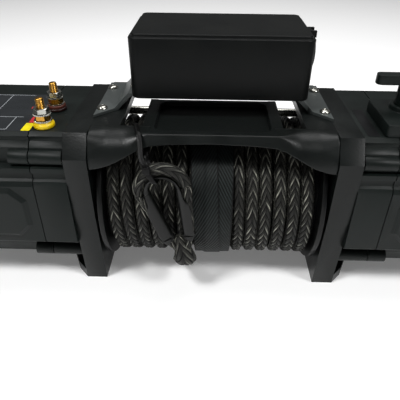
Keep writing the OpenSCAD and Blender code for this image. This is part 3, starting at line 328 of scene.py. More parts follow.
class Look(Enum):
    """Every finish on the winch, by the plain name of its material and how it was made."""

    # Gravity-cast aluminium under satin black powder coat: soft broad highlights, and a fine grain that
    # is drawn coarser than the real one so that it shows.
    CAST = CastFinish("powder_coated_cast_aluminium", "080b0a", "0d1110", 0.36, 1.7, 0.13, 0.23)
    # Glass-filled nylon covers moulded in a spark-eroded tool: even fine grain, matt.
    MOULDED = CastFinish("textured_moulded_nylon", "080e0c", "0d1412", 0.46, 0.8, 0.04, 0.22)
    # ABS box, moulded with a smoother leather grain.
    BOX = CastFinish("moulded_abs_box", "060808", "0a0c0b", 0.45, 1.2, 0.04, 0.15)
    # Steel sheet, cut, bent and powder coated black.
    SHEET = CastFinish("powder_coated_steel_sheet", "373c3b", "404544", 0.4, 0.9, 0.04, 0.7)
    # Steel under black e-coat: smooth, thin film.
    ECOAT = CastFinish("black_e_coated_steel", "050606", "080909", 0.4, 0.7, 0.02, 0.2)
    # Black nitrile rubber, moulded: dull.
    RUBBER = CastFinish("moulded_nitrile_rubber", "070708", "0c0c0d", 0.62, 0.8, 0.03, 0.2)
    # Thick-walled thimble in moulded nylon: smooth with a low sheen.
    THIMBLE = CastFinish("moulded_nylon_thimble", "040504", "080908", 0.36, 1.6, 0.03, 0.27)
    # Natural glossy nylon cable tie, black.
    TIE = CastFinish("nylon_cable_tie", "020202", "040404", 0.4, 1.5, 0.02, 0.16)
    # Moulded polyester insulators, one yellow and one dark red.
    YELLOW = CastFinish("moulded_yellow_insulator", "d8b400", "e9c80c", 0.28, 1.2, 0.02, 0.5)
    RED = CastFinish("moulded_dark_red_insulator", "1c0806", "2a0d0a", 0.34, 1.2, 0.02, 0.4)
    RED_SPACER = CastFinish("moulded_red_spacer", "4c241b", "5e3026", 0.34, 1.2, 0.02, 0.4)
    # Vinyl label stock: smooth, slightly glossy.
    LABEL = CastFinish("vinyl_label", "1d2022", "232629", 0.3, 2.5, 0.006, 0.45)
    DARK_LABEL = CastFinish("dark_vinyl_label", "0b0c0d", "111213", 0.36, 2.5, 0.006, 0.25)
    YELLOW_LABEL = CastFinish("yellow_vinyl", "d6c400", "e6d81a", 0.35, 2.5, 0.006, 0.4)
    RED_LABEL = CastFinish("red_vinyl", "b0242c", "c23038", 0.35, 2.5, 0.006, 0.4)
    WHITE_LABEL = CastFinish("white_vinyl_print", "9a9ea2", "aaaeb2", 0.4, 2.5, 0.006, 0.4)
    # Carbon, laminate, lining and enamelled wire inside the housings.
    CARBON = CastFinish("pressed_carbon", "0c0c0c", "161616", 0.5, 0.6, 0.02)
    BOARD = CastFinish("phenolic_board", "4a3018", "5a3c20", 0.5, 1.5, 0.02)
    LINING = CastFinish("brake_lining", "3a3128", "4a4034", 0.8, 1.0, 0.05)
    WIRE = CastFinish("enamelled_copper_winding", "6a2f10", "8a4418", 0.3, 0.9, 0.05)
    # Zinc-plated steel fasteners: bright, slightly yellow.
    ZINC = MetalFinish("zinc_plated_steel", "8f8f8a", "c9c8bf", 0.26)
    # Turned low-carbon steel, bare.
    STEEL = MetalFinish("turned_steel", "7c7d80", "a6a7aa", 0.32, (0.1, 1.0, 1.0))
    # Cut and hardened gear steel.
    GEAR = MetalFinish("hardened_gear_steel", "5c5e62", "84868a", 0.34)
    # Turned brass terminal studs.
    BRASS = MetalFinish("turned_brass", "a9782c", "cfa04c", 0.28)
    COPPER = MetalFinish("turned_copper", "9a5328", "bd6f3c", 0.3)
    BRONZE = MetalFinish("sintered_bronze", "7a5a2a", "9c763c", 0.45)
    # Twelve-strand braid of high-modulus polyethylene fibre, charcoal coloured; the dark colour serves the
    # threads and the painted shade in the gaps, and the pale one is a painted glint.
    ROPE = BraidFinish("braided_synthetic_rope", "010101", "363630", "c4c4b6")
    # Polyester twill webbing, dyed black.
    WEBBING = TwillFinish("twill_webbing", "020303", "1f2524")

    def material(self) -> bpy.types.Material:
        """Give the finish's material, made once."""
        found = bpy.data.materials.get(self.value.name)
        return found or self.value.make()


NODE_LOOKS: dict[Look, tuple[str, ...]] = {
    Look.CAST: ("motor_support", "gear_support", "top_bridge"),
    Look.MOULDED: ("motor_ring", "motor_cover", "gear_ring_case", "gear_cover", "clutch_base",
                   "clutch_handle"),
    Look.BOX: ("box_base", "box_lid", "socket", "contactor"),
    Look.SHEET: ("box_brackets",),
    Look.ECOAT: ("bridge_screws", "drum_flanges"),
    Look.RUBBER: ("case_gaskets", "socket_cap"),
    Look.THIMBLE: ("thimble",),
    Look.TIE: ("cable_tie",),
    Look.YELLOW: ("front_insulator",),
    Look.RED: ("rear_insulator",),
    Look.CARBON: ("brushes",),
    Look.BOARD: ("brush_plate",),
    Look.LINING: ("brake_lining",),
    Look.WIRE: ("field_poles",),
    Look.ZINC: ("foot_nuts", "tie_rods", "case_bolts", "terminal_nuts", "clutch_pin", "bracket_screws"),
    Look.STEEL: ("field_case", "armature_shaft", "armature_core", "motor_bearings", "drum_tube",
                 "drive_shaft", "brake_hub"),
    Look.GEAR: ("ring_gear", "carrier_1", "carrier_2", "carrier_3"),
    Look.BRASS: ("terminal_studs", "terminal_washers"),
    Look.COPPER: ("commutator",),
    Look.BRONZE: ("drum_bushes",),
    Look.ROPE: ("rope_core", "rope_wraps", "rope_eye"),
    Look.WEBBING: ("wear_strap",),
}


def finish_piece(name: str, bm: bmesh.types.BMesh, look: Look, body: str,
                 replaces: tuple[str, ...] = (), smooth: bool = True) -> bpy.types.Object:
    """Turn a bmesh into a piece that rides on its body.

    Args:
        name: The piece's name.
        bm: Its shape; it is freed.
        look: Its finish.
        body: The CAD body that it rides on.
        replaces: CAD nodes that it stands for.
        smooth: Whether its faces are shaded smooth.

    Returns:
        The piece.
    """
    for face in bm.faces:
        face.smooth = smooth and len(face.verts) < 9
    mesh = bpy.data.meshes.new(name)
    bm.to_mesh(mesh)
    bm.free()
    mesh.materials.append(look.material())
    piece = bpy.data.objects.new(name, mesh)
    bpy.context.scene.collection.objects.link(piece)
    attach(piece, body)
    if replaces:
        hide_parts(*replaces)
    log.info("%s: %d faces on %s", name, len(mesh.polygons), body)
    return piece


def round_edges(piece: bpy.types.Object, width: float, segments: int = 3, angle: float = SHARP_DEG) -> None:
    """Round a piece's sharp edges with a modifier.

    Args:
        piece: The piece.
        width: Width of the rounding in metres.
        segments: Faces across each rounding.
        angle: Edges sharper than this are rounded, in degrees.
    """
    bevel = piece.modifiers.new("rounding", "BEVEL")
    bevel.width = width
    bevel.segments = segments
    bevel.limit_method = "ANGLE"
    bevel.angle_limit = math.radians(angle)
    bevel.harden_normals = True
    bevel.use_clamp_overlap = True


def node_copy(node: str) -> bmesh.types.BMesh:
    """Copy a CAD node's shape, merged and with its flat faces whole.

    Args:
        node: The CAD node.

    Returns:
        The copy.
    """
    bm = bmesh.new()
    bm.from_mesh(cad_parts[node].data)
    bmesh.ops.remove_doubles(bm, verts=bm.verts[:], dist=0.002 * MM)
    bmesh.ops.dissolve_limit(bm, angle_limit=math.radians(1.0), verts=bm.verts[:], edges=bm.edges[:])
    return bm


def soften(node: str, name: str, look: Look, body: str, width: float,
           segments: int = 3, angle: float = SHARP_DEG) -> bpy.types.Object:
    """Stand in for a CAD node with a copy whose edges are rounded.

    Args:
        node: The CAD node.
        name: The new piece's name.
        look: Its finish.
        body: The body it rides on.
        width: Width of the rounding in metres.
        segments: Faces across each rounding.
        angle: Edges sharper than this are rounded, in degrees.

    Returns:
        The piece.
    """
    piece = finish_piece(name, node_copy(node), look, body, (node,))
    round_edges(piece, width, segments, angle)
    return piece


def turned(profile: list[tuple[float, float]], steps: int = 32, closed: bool = False) -> bmesh.types.BMesh:
    """Turn a profile about Z.

    Args:
        profile: Points of radius and height, in millimetres.
        steps: Steps in the full turn.
        closed: Whether the profile's last point joins its first.

    Returns:
        The turned shape, in metres.
    """
    bm = bmesh.new()
    verts = [bm.verts.new((r * MM, 0, z * MM)) for r, z in profile]
    pairs = list(zip(verts, verts[1:]))
    if closed:
        pairs.append((verts[-1], verts[0]))
    edges = [bm.edges.new(pair) for pair in pairs]
    bmesh.ops.spin(bm, geom=verts + edges, cent=(0, 0, 0), axis=(0, 0, 1), dvec=(0, 0, 0),
                   angle=2 * math.pi, steps=steps, use_merge=True, use_normal_flip=False,
                   use_duplicate=False)
    bmesh.ops.remove_doubles(bm, verts=bm.verts[:], dist=0.001 * MM)
    bmesh.ops.recalc_face_normals(bm, faces=bm.faces[:])
    return bm


def to_hexagon(bm: bmesh.types.BMesh, radius: float, corner: float, slope: float = 0.0,
               turn: float = 0.0) -> None:
    """Move the points that lie on one radius out to a hexagon.

    Args:
        bm: A turned shape.
        radius: The radius of the points to move, in millimetres.
        corner: The hexagon's corner radius, in millimetres.
        slope: How much a moved point falls for each unit that it moves out.
        turn: Angle of the first corner, in degrees.
    """
    middle = sum(v.co.z for v in bm.verts) / len(bm.verts)
    for vert in bm.verts:
        r = math.hypot(vert.co.x, vert.co.y)
        if abs(r - radius * MM) < 0.01 * MM:
            a = (math.degrees(math.atan2(vert.co.y, vert.co.x)) - turn) % 60 - 30
            new = corner * MM * math.cos(math.radians(30)) / math.cos(math.radians(a))
            vert.co.x *= new / r
            vert.co.y *= new / r
            vert.co.z -= math.copysign(max(0.0, new - radius * MM) * slope, vert.co.z - middle)


def moved(bm: bmesh.types.BMesh, place: tuple[float, float, float], axis: str = "Z") -> bmesh.types.BMesh:
    """Turn a shape made about Z on to another axis and move it.

    Args:
        bm: The shape.
        place: Where its origin goes, in millimetres.
        axis: Where its Z goes: Z, X, -X, Y or -Y.

    Returns:
        The same shape.
    """
    turns = {"Z": Matrix(), "X": Matrix.Rotation(math.pi / 2, 4, "Y"),
             "-X": Matrix.Rotation(-math.pi / 2, 4, "Y"), "Y": Matrix.Rotation(-math.pi / 2, 4, "X"),
             "-Y": Matrix.Rotation(math.pi / 2, 4, "X")}
    matrix = Matrix.Translation(Vector(place) * MM) @ turns[axis]
    bmesh.ops.transform(bm, matrix=matrix, verts=bm.verts[:])
    return bm


def joined(parts: list[bmesh.types.BMesh]) -> bmesh.types.BMesh:
    """Put several shapes into one.

    Args:
        parts: The shapes; they are freed.

    Returns:
        One shape.
    """
    whole = bmesh.new()
    for bm in parts:
        mesh = bpy.data.meshes.new("part")
        bm.to_mesh(mesh)
        bm.free()
        whole.from_mesh(mesh)
        bpy.data.meshes.remove(mesh)
    return whole


def sleeve(around: int, along: int, place: Callable[[np.ndarray, np.ndarray], np.ndarray],
           uv_name: str, uv_size: tuple[float, float], tube: bool = True) -> bmesh.types.BMesh:
    """Wrap a grid on to a surface, and close it if it is a tube.

    Args:
        around: Faces round the section.
        along: Faces along the path.
        place: Gives points for arrays of the shares round and along, each 0 to 1.
        uv_name: Name of the UV map.
        uv_size: Size of the UV map round and along.
        tube: Whether the grid's sides meet and its ends are closed.

    Returns:
        The shape, in metres.
    """
    bm = bmesh.new()
    layer = bm.loops.layers.uv.new(uv_name)
    bmesh.ops.create_grid(bm, x_segments=around, y_segments=along, size=0.5, calc_uvs=True)
    co = np.array([v.co[:2] for v in bm.verts]) + 0.5
    points = place(co[:, 0], co[:, 1])
    for vert, point in zip(bm.verts, points.tolist()):
        vert.co = point
    su, sv = uv_size
    for face in bm.faces:
        for loop in face.loops:
            uv = loop[layer].uv
            loop[layer].uv = (uv.x * su, uv.y * sv)
    if tube:
        bmesh.ops.remove_doubles(bm, verts=bm.verts[:], dist=0.001 * MM)
        ends = [e for e in bm.edges if e.is_boundary]
        bmesh.ops.holes_fill(bm, edges=ends, sides=around + 2)
        bmesh.ops.recalc_face_normals(bm, faces=bm.faces[:])
    return bm


def ease(share: np.ndarray) -> np.ndarray:
    """Run smoothly from 0 to 1 as the share does."""
    return share * share * (3 - 2 * share)


def run_along(line: np.ndarray) -> np.ndarray:
    """Give the length of a line up to each of its points."""
    return np.concatenate([[0], np.cumsum(np.linalg.norm(np.diff(line, axis=0), axis=1))])


def between(at: np.ndarray, marks: np.ndarray, rows: np.ndarray) -> np.ndarray:
    """Interpolate rows of coordinates.

    Args:
        at: Where they are wanted.
        marks: Where they are known.
        rows: The known rows.

    Returns:
        One row for each place.
    """
    return np.stack([np.interp(at, marks, rows[:, k]) for k in range(rows.shape[1])], axis=1)


def braid_height(along: np.ndarray, across: np.ndarray) -> np.ndarray:
    """Give the height of a twelve-strand braid, from 0 in its valleys to 1 on its crowns.

    Args:
        along: Distance along the rope in pick lengths.
        across: Place round the rope in columns of picks.

    Returns:
        The heights.
    """
    column = np.floor(across)
    t = across - column
    way = 1 - 2 * np.mod(column, 2)
    strand = np.mod(along + SLANT * way * across, 1.0)
    crown = np.sqrt(np.clip(1 - (2 * strand - 1) ** 2, 0, 1))
    return crown * (0.35 + 0.65 * np.sin(math.pi * t) ** 0.7)


def uneven(turns: np.ndarray, columns: np.ndarray) -> np.ndarray:
    """Give how far each pick of the pack is shifted along, in pick lengths."""
    slow = 0.22 * np.sin(turns * 11.3 + columns * 0.7) + 0.16 * np.sin(turns * 29.1 - columns * 1.1)
    return slow + 0.07 * np.sin(turns * 97.0 + columns * 1.9)


def smooth_path(points: list[tuple[float, float, float]], step: float) -> np.ndarray:
    """Run a smooth curve through points, in even steps.

    Args:
        points: Points in metres.
        step: The step in metres.

    Returns:
        The curve's points.
    """
    p = np.array([points[0]] + list(points) + [points[-1]])
    fine = []
    for i in range(1, len(p) - 2):
        t = np.linspace(0, 1, 24, endpoint=False)[:, None]
        a, b, c, d = p[i - 1], p[i], p[i + 1], p[i + 2]
        fine.append(0.5 * (2 * b + (c - a) * t + (2 * a - 5 * b + 4 * c - d) * t ** 2
                           + (3 * b - a - 3 * c + d) * t ** 3))
    line = np.vstack(fine + [p[-1][None]])
    run = run_along(line)
    return between(np.linspace(0, run[-1], max(2, round(run[-1] / step) + 1)), run, line)


class Route:
    """A path with a frame at each point, for sweeping a section along it."""

    def __init__(self, line: np.ndarray, side: tuple[float, float, float]) -> None:
        """Keep the path and work out its frames.

        Args:
            line: The path's points in metres.
            side: The direction that the section's second axis keeps to.
        """
        self.line = line
        run = run_along(line)
        self.length = float(run[-1])
        self.share = run / run[-1]
        ahead = np.gradient(line, axis=0)
        ahead /= np.linalg.norm(ahead, axis=1)[:, None]
        normal = np.cross(ahead, np.array(side))
        normal /= np.linalg.norm(normal, axis=1)[:, None]
        self.ahead = ahead
        self.normal = normal
        self.binormal = np.cross(normal, ahead)

    def at(self, share: np.ndarray) -> tuple[np.ndarray, np.ndarray, np.ndarray]:
        """Give points, normals and binormals at shares of the path.

        Args:
            share: Shares of the length, 0 to 1.

        Returns:
            Three arrays of vectors.
        """
        point, normal, binormal = (between(share, self.share, rows)
                                   for rows in (self.line, self.normal, self.binormal))
        return point, normal, binormal


@dataclass
class Castings:
    """The cast supports and the moulded housings, with their edges rounded."""

    cast_round: float = 2.0 * MM
    cover_round: float = 0.9 * MM
    lever_round: float = 1.5 * MM
    tray_round: float = 0.6 * MM
    lid_round: float = 1.2 * MM
    sheet_round: float = 0.4 * MM
    flange_round: float = 0.8 * MM

    def build(self) -> None:
        """Make the softened copies."""
        for node in ("motor_support", "gear_support"):
            soften(node, node + "_casting", Look.CAST, "frame", self.cast_round)
        for node in ("motor_ring", "motor_cover", "gear_ring_case", "gear_cover", "clutch_base"):
            soften(node, node + "_moulding", Look.MOULDED, "frame", self.cover_round)
        for node, name, look, body, slot, width in (
                ("clutch_handle", "clutch_lever", Look.MOULDED, "handle", "housing_black", self.lever_round),
                ("box_base", "box_tray", Look.BOX, "frame", "box_plastic", self.tray_round),
                ("box_lid", "box_cover", Look.BOX, "frame", "box_plastic", self.lid_round),
                ("box_brackets", "box_bracket_plates", Look.SHEET, "frame", "black_steel", self.sheet_round),
                ("drum_flanges", "drum_end_plates", Look.ECOAT, "drum", "black_steel", self.flange_round)):
            soften(node, name, look, body, width)


@dataclass
class Bridge:
    """The cast bridge: its deck from the CAD, and a front band whose fillets swell towards the ends."""

    half: float = 115.9
    top: float = 179.0
    split: float = 58.5
    deck_front: float = -59.0
    wing_front: float = -47.0
    wall: float = 7.5
    edge_round: float = 1.6 * MM
    # The fillet's half width: in the middle, what it gains towards the ends, and what it loses at them.
    fillet: float = 1.2
    swell: float = 13.0
    swell_from: float = 59.0
    swell_over: float = 24.0
    shrink: float = 7.0
    shrink_from: float = 100.0
    shrink_over: float = 16.0
    corners: tuple[tuple[float, float], ...] = ((-47, 179), (-64, 179), (-77, 158), (-75.5, 130))
    arch: tuple[tuple[float, float], ...] = (
        (0, 171.2), (40, 170.0), (58, 168.6), (67, 166.0), (77, 161.2), (87, 155.6), (96, 151.0),
        (106, 148.0), (116, 146.2))

    def build(self) -> None:
        """Build the deck, the two wings and the front band."""
        cuts = {
            "bridge_deck": [((0, self.deck_front, 0), (0, -1, 0)), ((self.split, 0, 0), (1, 0, 0)),
                            ((-self.split, 0, 0), (-1, 0, 0))],
            "bridge_wing_motor": [((0, self.wing_front, 0), (0, -1, 0)), ((-self.split, 0, 0), (1, 0, 0))],
            "bridge_wing_gear": [((0, self.wing_front, 0), (0, -1, 0)), ((self.split, 0, 0), (-1, 0, 0))],
        }
        for number, (name, planes) in enumerate(cuts.items()):
            bm = node_copy("top_bridge")
            for place, outwards in planes:
                bmesh.ops.bisect_plane(bm, geom=bm.verts[:] + bm.edges[:] + bm.faces[:],
                                       plane_co=Vector(place) * MM, plane_no=outwards, clear_outer=True)
                bmesh.ops.holes_fill(bm, edges=[e for e in bm.edges if e.is_boundary], sides=200)
            self.weigh(bm, planes)
            piece = finish_piece(name, bm, Look.CAST, "frame",
                                 ("top_bridge",) if number == 0 else (), False)
            round_edges(piece, self.edge_round)
            piece.modifiers["rounding"].limit_method = "WEIGHT"
        parts = [self.band(-self.half, -self.split, self.wing_front),
                 self.band(-self.split, self.split, self.deck_front),
                 self.band(self.split, self.half, self.wing_front)]
        for bm in parts:
            inside = [f for f in bm.faces if len(f.verts) > 8
                      and abs(abs(f.calc_center_median().x) - self.split * MM) < 0.1 * MM]
            bmesh.ops.delete(bm, geom=inside, context="FACES_ONLY")
        band = joined(parts)
        bmesh.ops.remove_doubles(band, verts=band.verts[:], dist=0.01 * MM)
        bmesh.ops.holes_fill(band, edges=[e for e in band.edges if e.is_boundary], sides=60)
        bmesh.ops.recalc_face_normals(band, faces=band.faces[:])
        finish_piece("bridge_band", band, Look.CAST, "frame")

    def weigh(self, bm: bmesh.types.BMesh, planes: list[tuple[tuple, tuple]]) -> None:
        """Mark the sharp edges that get rounded, and leave out those on a cut.

        Args:
            bm: The cut copy.
            planes: The cuts, each a point and a direction.
        """
        layer = bm.edges.layers.float.new("bevel_weight_edge")
        for edge in bm.edges:
            on_cut = any(all(abs((v.co - Vector(p) * MM).dot(Vector(n))) < 0.02 * MM for v in edge.verts)
                         for p, n in planes)
            if edge.is_manifold and edge.calc_face_angle(0) > math.radians(SHARP_DEG) and not on_cut:
                edge[layer] = 1.0

    def section(self, x: float, back: float) -> np.ndarray:
        """Give the band's section at one place along the drum.

        Args:
            x: The place in millimetres.
            back: Where the band's top ends at the back, in millimetres.

        Returns:
            Points of Y and Z in millimetres, going round.
        """
        far = abs(x)
        low = float(np.interp(far, [a for a, _ in self.arch], [b for _, b in self.arch]))
        swollen = ease(np.clip((far - self.swell_from) / self.swell_over, 0, 1))
        shrunk = np.clip((far - self.shrink_from) / self.shrink_over, 0, 1)
        window = self.fillet + self.swell * swollen - self.shrink * shrunk
        corners = np.array(self.corners)
        run = run_along(corners)

        def on_line(s: np.ndarray) -> np.ndarray:
            """Give points on the unsmoothed face, kept straight past its ends."""
            y, z = np.interp(s, run, corners[:, 0]), np.interp(s, run, corners[:, 1])
            return np.stack([y + np.clip(-s, 0, None), z], axis=-1)

        def evenly(points: np.ndarray, count: int) -> np.ndarray:
            """Give a fixed number of points in even steps along a line."""
            steps = run_along(points)
            return between(np.linspace(0, steps[-1], count), steps, points)

        s = np.linspace(0, run[-1], 240)
        offsets = np.linspace(-window, window, 25)
        face = np.mean([on_line(s + d) for d in offsets], axis=0)
        face[0] = corners[0]
        face = face[face[:, 1] > low + 1.2]
        way = np.gradient(face, axis=0)
        way /= np.linalg.norm(way, axis=1)[:, None]
        inner = face + np.stack([-way[:, 1], way[:, 0]], axis=1) * self.wall
        inner = inner[inner[:, 0] <= self.deck_front]
        above = inner[:, 1] > low + 1.2
        inner = inner[above] if above.sum() > 3 else inner[:4]
        foot_out, foot_in = face[-1], inner[-1]
        bend = [foot_out + (0.2, -0.8), foot_out + (1.2, -1.2), foot_in + (-1.2, -1.2),
                foot_in + (-0.2, -0.8)]
        front = evenly(face[face[:, 0] <= self.deck_front], 52)
        behind = evenly(inner, 36)
        ring = np.vstack([front, np.array(bend), behind[::-1]])
        if back > self.deck_front:
            roof = evenly(face[face[:, 0] > self.deck_front], 10)
            ring = np.vstack([ring, [(back, self.top - self.wall)], roof])
        return ring

    def band(self, x0: float, x1: float, back: float) -> bmesh.types.BMesh:
        """Sweep the section along the drum.

        Args:
            x0: Where it starts, in millimetres.
            x1: Where it ends, in millimetres.
            back: Where its top ends at the back, in millimetres.

        Returns:
            The band.
        """
        along = round((x1 - x0) / 1.5)
        rows = np.array([self.section(x0 + (x1 - x0) * i / along, back) for i in range(along + 1)])
        around = rows.shape[1]

        def place(u: np.ndarray, v: np.ndarray) -> np.ndarray:
            """Give points of the band."""
            i, k = np.rint(v * along).astype(int), np.rint(u * around).astype(int)
            found = rows[i, k % around]
            return np.stack([x0 + (x1 - x0) * v, found[:, 0], found[:, 1]], axis=1) * MM

        return sleeve(around, along, place, "surface", (1, 1))


@dataclass
class Terminals:
    """The two threaded studs with their nuts, washers and insulators."""

    stud_x: float = -159.5
    stud_ys: tuple[float, float] = (-49.0, -8.0)
    base_z: float = 178.0
    stack_z: float = 184.0
    top_z: float = 206.0
    thread_pitch: float = 1.25
    thread_radius: float = 4.0
    thread_depth: float = 0.14
    low_nut_up: float = 1.5
    washer_up: float = 6.5
    top_nut_up: float = 8.0
    low_turns: tuple[float, float] = (0.0, 12.0)
    top_turns: tuple[float, float] = (25.0, 5.0)
    front_profile: tuple[tuple[float, float], ...] = (
        (4.05, 0), (9.2, 0), (9.9, 0.7), (9.9, 3.2), (9.2, 4.2), (8.4, 4.6), (7.8, 5.0), (7.8, 6.0),
        (4.05, 6.0))
    rear_profile: tuple[tuple[float, float], ...] = (
        (4.05, 0), (9.2, 0), (9.9, 0.7), (9.9, 2.4), (9.2, 3.0), (4.05, 3.0))
    spacer_profile: tuple[tuple[float, float], ...] = (
        (4.05, 3.0), (8.6, 3.0), (9.0, 3.4), (9.0, 5.6), (8.6, 6.0), (4.05, 6.0))

    def build(self) -> None:
        """Build the terminals."""
        studs, upper, lower, washers = [], [], [], []
        for number, y in enumerate(self.stud_ys):
            at = (self.stud_x, y, 0.0)
            studs.append(moved(self.stud(), at))
            lower.append(moved(self.nut(self.stack_z + self.low_nut_up, self.low_turns[number]), at))
            upper.append(moved(self.nut(self.stack_z + self.top_nut_up, self.top_turns[number]), at))
            washers.append(moved(self.washer(self.stack_z), at))
            washers.append(moved(self.washer(self.stack_z + self.washer_up), at))
        finish_piece("studs_threaded", joined(studs), Look.BRASS, "frame", ("terminal_studs",))
        nuts = finish_piece("nuts_upper", joined(upper), Look.ZINC, "frame",
                            ("terminal_nuts",), False)
        low = finish_piece("nuts_lower", joined(lower), Look.BRASS, "frame", (), False)
        for piece in (nuts, low):
            round_edges(piece, 0.15 * MM, 1, 20)
        plates = finish_piece("washers_toothed", joined(washers), Look.ZINC, "frame",
                              ("terminal_washers",), False)
        round_edges(plates, 0.12 * MM, 1, 30)
        front, rear = self.stud_ys
        for name, profile, y, look, slot, replaces in (
                ("insulator_yellow", self.front_profile, front, Look.YELLOW, "yellow_plastic",
                 ("front_insulator",)),
                ("insulator_dark", self.rear_profile, rear, Look.RED, "red_plastic", ("rear_insulator",)),
                ("spacer_red", self.spacer_profile, rear, Look.RED_SPACER, "red_plastic", ())):
            ring = moved(turned(list(profile), 40, True), (self.stud_x, y, self.base_z))
            finish_piece(name, ring, look, "frame", replaces)

    def stud(self) -> bmesh.types.BMesh:
        """Turn a stud whose upper part has a helical thread.

        Returns:
            The stud.
        """
        foot, start = self.base_z - 14, self.stack_z
        step = self.thread_pitch / 5
        count = round((self.top_z - 0.8 - start) / step)
        radius = self.thread_radius
        rows = [(radius, start + step * i) for i in range(count + 1)]
        bm = turned([(0, foot), (radius, foot)] + rows + [(3.1, self.top_z), (0, self.top_z)], 24)
        for vert in bm.verts:
            r = math.hypot(vert.co.x, vert.co.y)
            if abs(r - radius * MM) < 0.01 * MM and vert.co.z > (start + 0.1) * MM:
                turn = math.atan2(vert.co.y, vert.co.x) / (2 * math.pi)
                wave = abs((vert.co.z / MM / self.thread_pitch - turn) % 1 - 0.5) * 2
                vert.co.x *= 1 - self.thread_depth * wave
                vert.co.y *= 1 - self.thread_depth * wave
        return bm

    def nut(self, z: float, turn: float) -> bmesh.types.BMesh:
        """Turn a nut, pull its sides out to a hexagon and let its corners fall to the chamfer.

        Args:
            z: Height of its foot in millimetres.
            turn: How far it is turned, in degrees.

        Returns:
            The nut.
        """
        bm = turned([(4.1, z), (4.6, z), (6.5, z), (6.6, z + 0.001), (6.6, z + 4.999), (6.5, z + 5),
                     (4.6, z + 5), (4.1, z + 4.6), (4.1, z + 0.4)], 48, True)
        to_hexagon(bm, 6.6, 7.6, 0.55, turn)
        return bm

    def washer(self, z: float) -> bmesh.types.BMesh:
        """Turn a washer whose rim is cut into teeth.

        Args:
            z: Height of its foot in millimetres.

        Returns:
            The washer.
        """
        bm = turned([(4.1, z + 0.1), (7.4, z + 0.1), (8.45, z + 0.1), (8.45, z + 1.4), (7.4, z + 1.4),
                     (4.1, z + 1.4)], 72, True)
        for vert in bm.verts:
            r = math.hypot(vert.co.x, vert.co.y)
            if r > 8.3 * MM:
                tooth = 1 - 0.06 * (round(math.atan2(vert.co.y, vert.co.x) / math.radians(5)) % 2)
                vert.co.x *= tooth
                vert.co.y *= tooth
        return bm


@dataclass
class Screws:
    """Button head screws of the brackets and of the box lid, with hexagon sockets."""

    bracket_xs: tuple[float, float] = (-111.5, 111.5)
    bracket_ys: tuple[float, float] = (-13.0, 45.0)
    sheet_top: float = 182.0
    box_middle: float = 6.0
    box_half: float = 86.0
    box_ys: tuple[float, float] = (-9.0, 63.0)
    box_z: float = 205.0
    shank: float = 11.5
    lid_shank: float = 3.0
    lid_scale: float = 0.6

    def build(self) -> None:
        """Build the screws."""
        screws = [moved(self.button(self.shank), (x, y, self.sheet_top)) for x in self.bracket_xs
                  for y in self.bracket_ys]
        finish_piece("button_screws", joined(screws), Look.ZINC, "frame", ("bracket_screws",))
        small = []
        for side, y in itertools.product((-1, 1), self.box_ys):
            bm = self.button(self.lid_shank)
            bmesh.ops.scale(bm, vec=(self.lid_scale,) * 3, verts=bm.verts[:])
            bmesh.ops.rotate(bm, matrix=Matrix.Rotation(side * math.radians(90), 3, "Y"), verts=bm.verts[:])
            small.append(moved(bm, (self.box_middle + side * self.box_half, y, self.box_z)))
        finish_piece("box_lid_screws", joined(small), Look.ZINC, "frame")

    def button(self, shank: float) -> bmesh.types.BMesh:
        """Turn a button head with its hexagon socket and shank.

        Args:
            shank: The shank's length in millimetres.

        Returns:
            The screw, its head's seat at zero.
        """
        profile = [(0, -shank), (2.4, -shank), (2.4, 0.0), (5.4, 0.0), (5.5, 0.25), (5.3, 1.0), (4.7, 1.8),
                   (3.8, 2.45), (2.9, 2.8), (1.9, 2.9), (1.75, 2.6), (1.7, 1.2), (0, 0.9)]
        bm = turned(profile, 36)
        for radius in (1.9, 1.75, 1.7):
            to_hexagon(bm, radius, radius * 1.1, 0.0, 10.0)
        return bm


def pack_angle(turns: np.ndarray) -> np.ndarray:
    """Give the helix's angle in radians for turns from its start."""
    return math.radians(120) + 2 * math.pi * turns


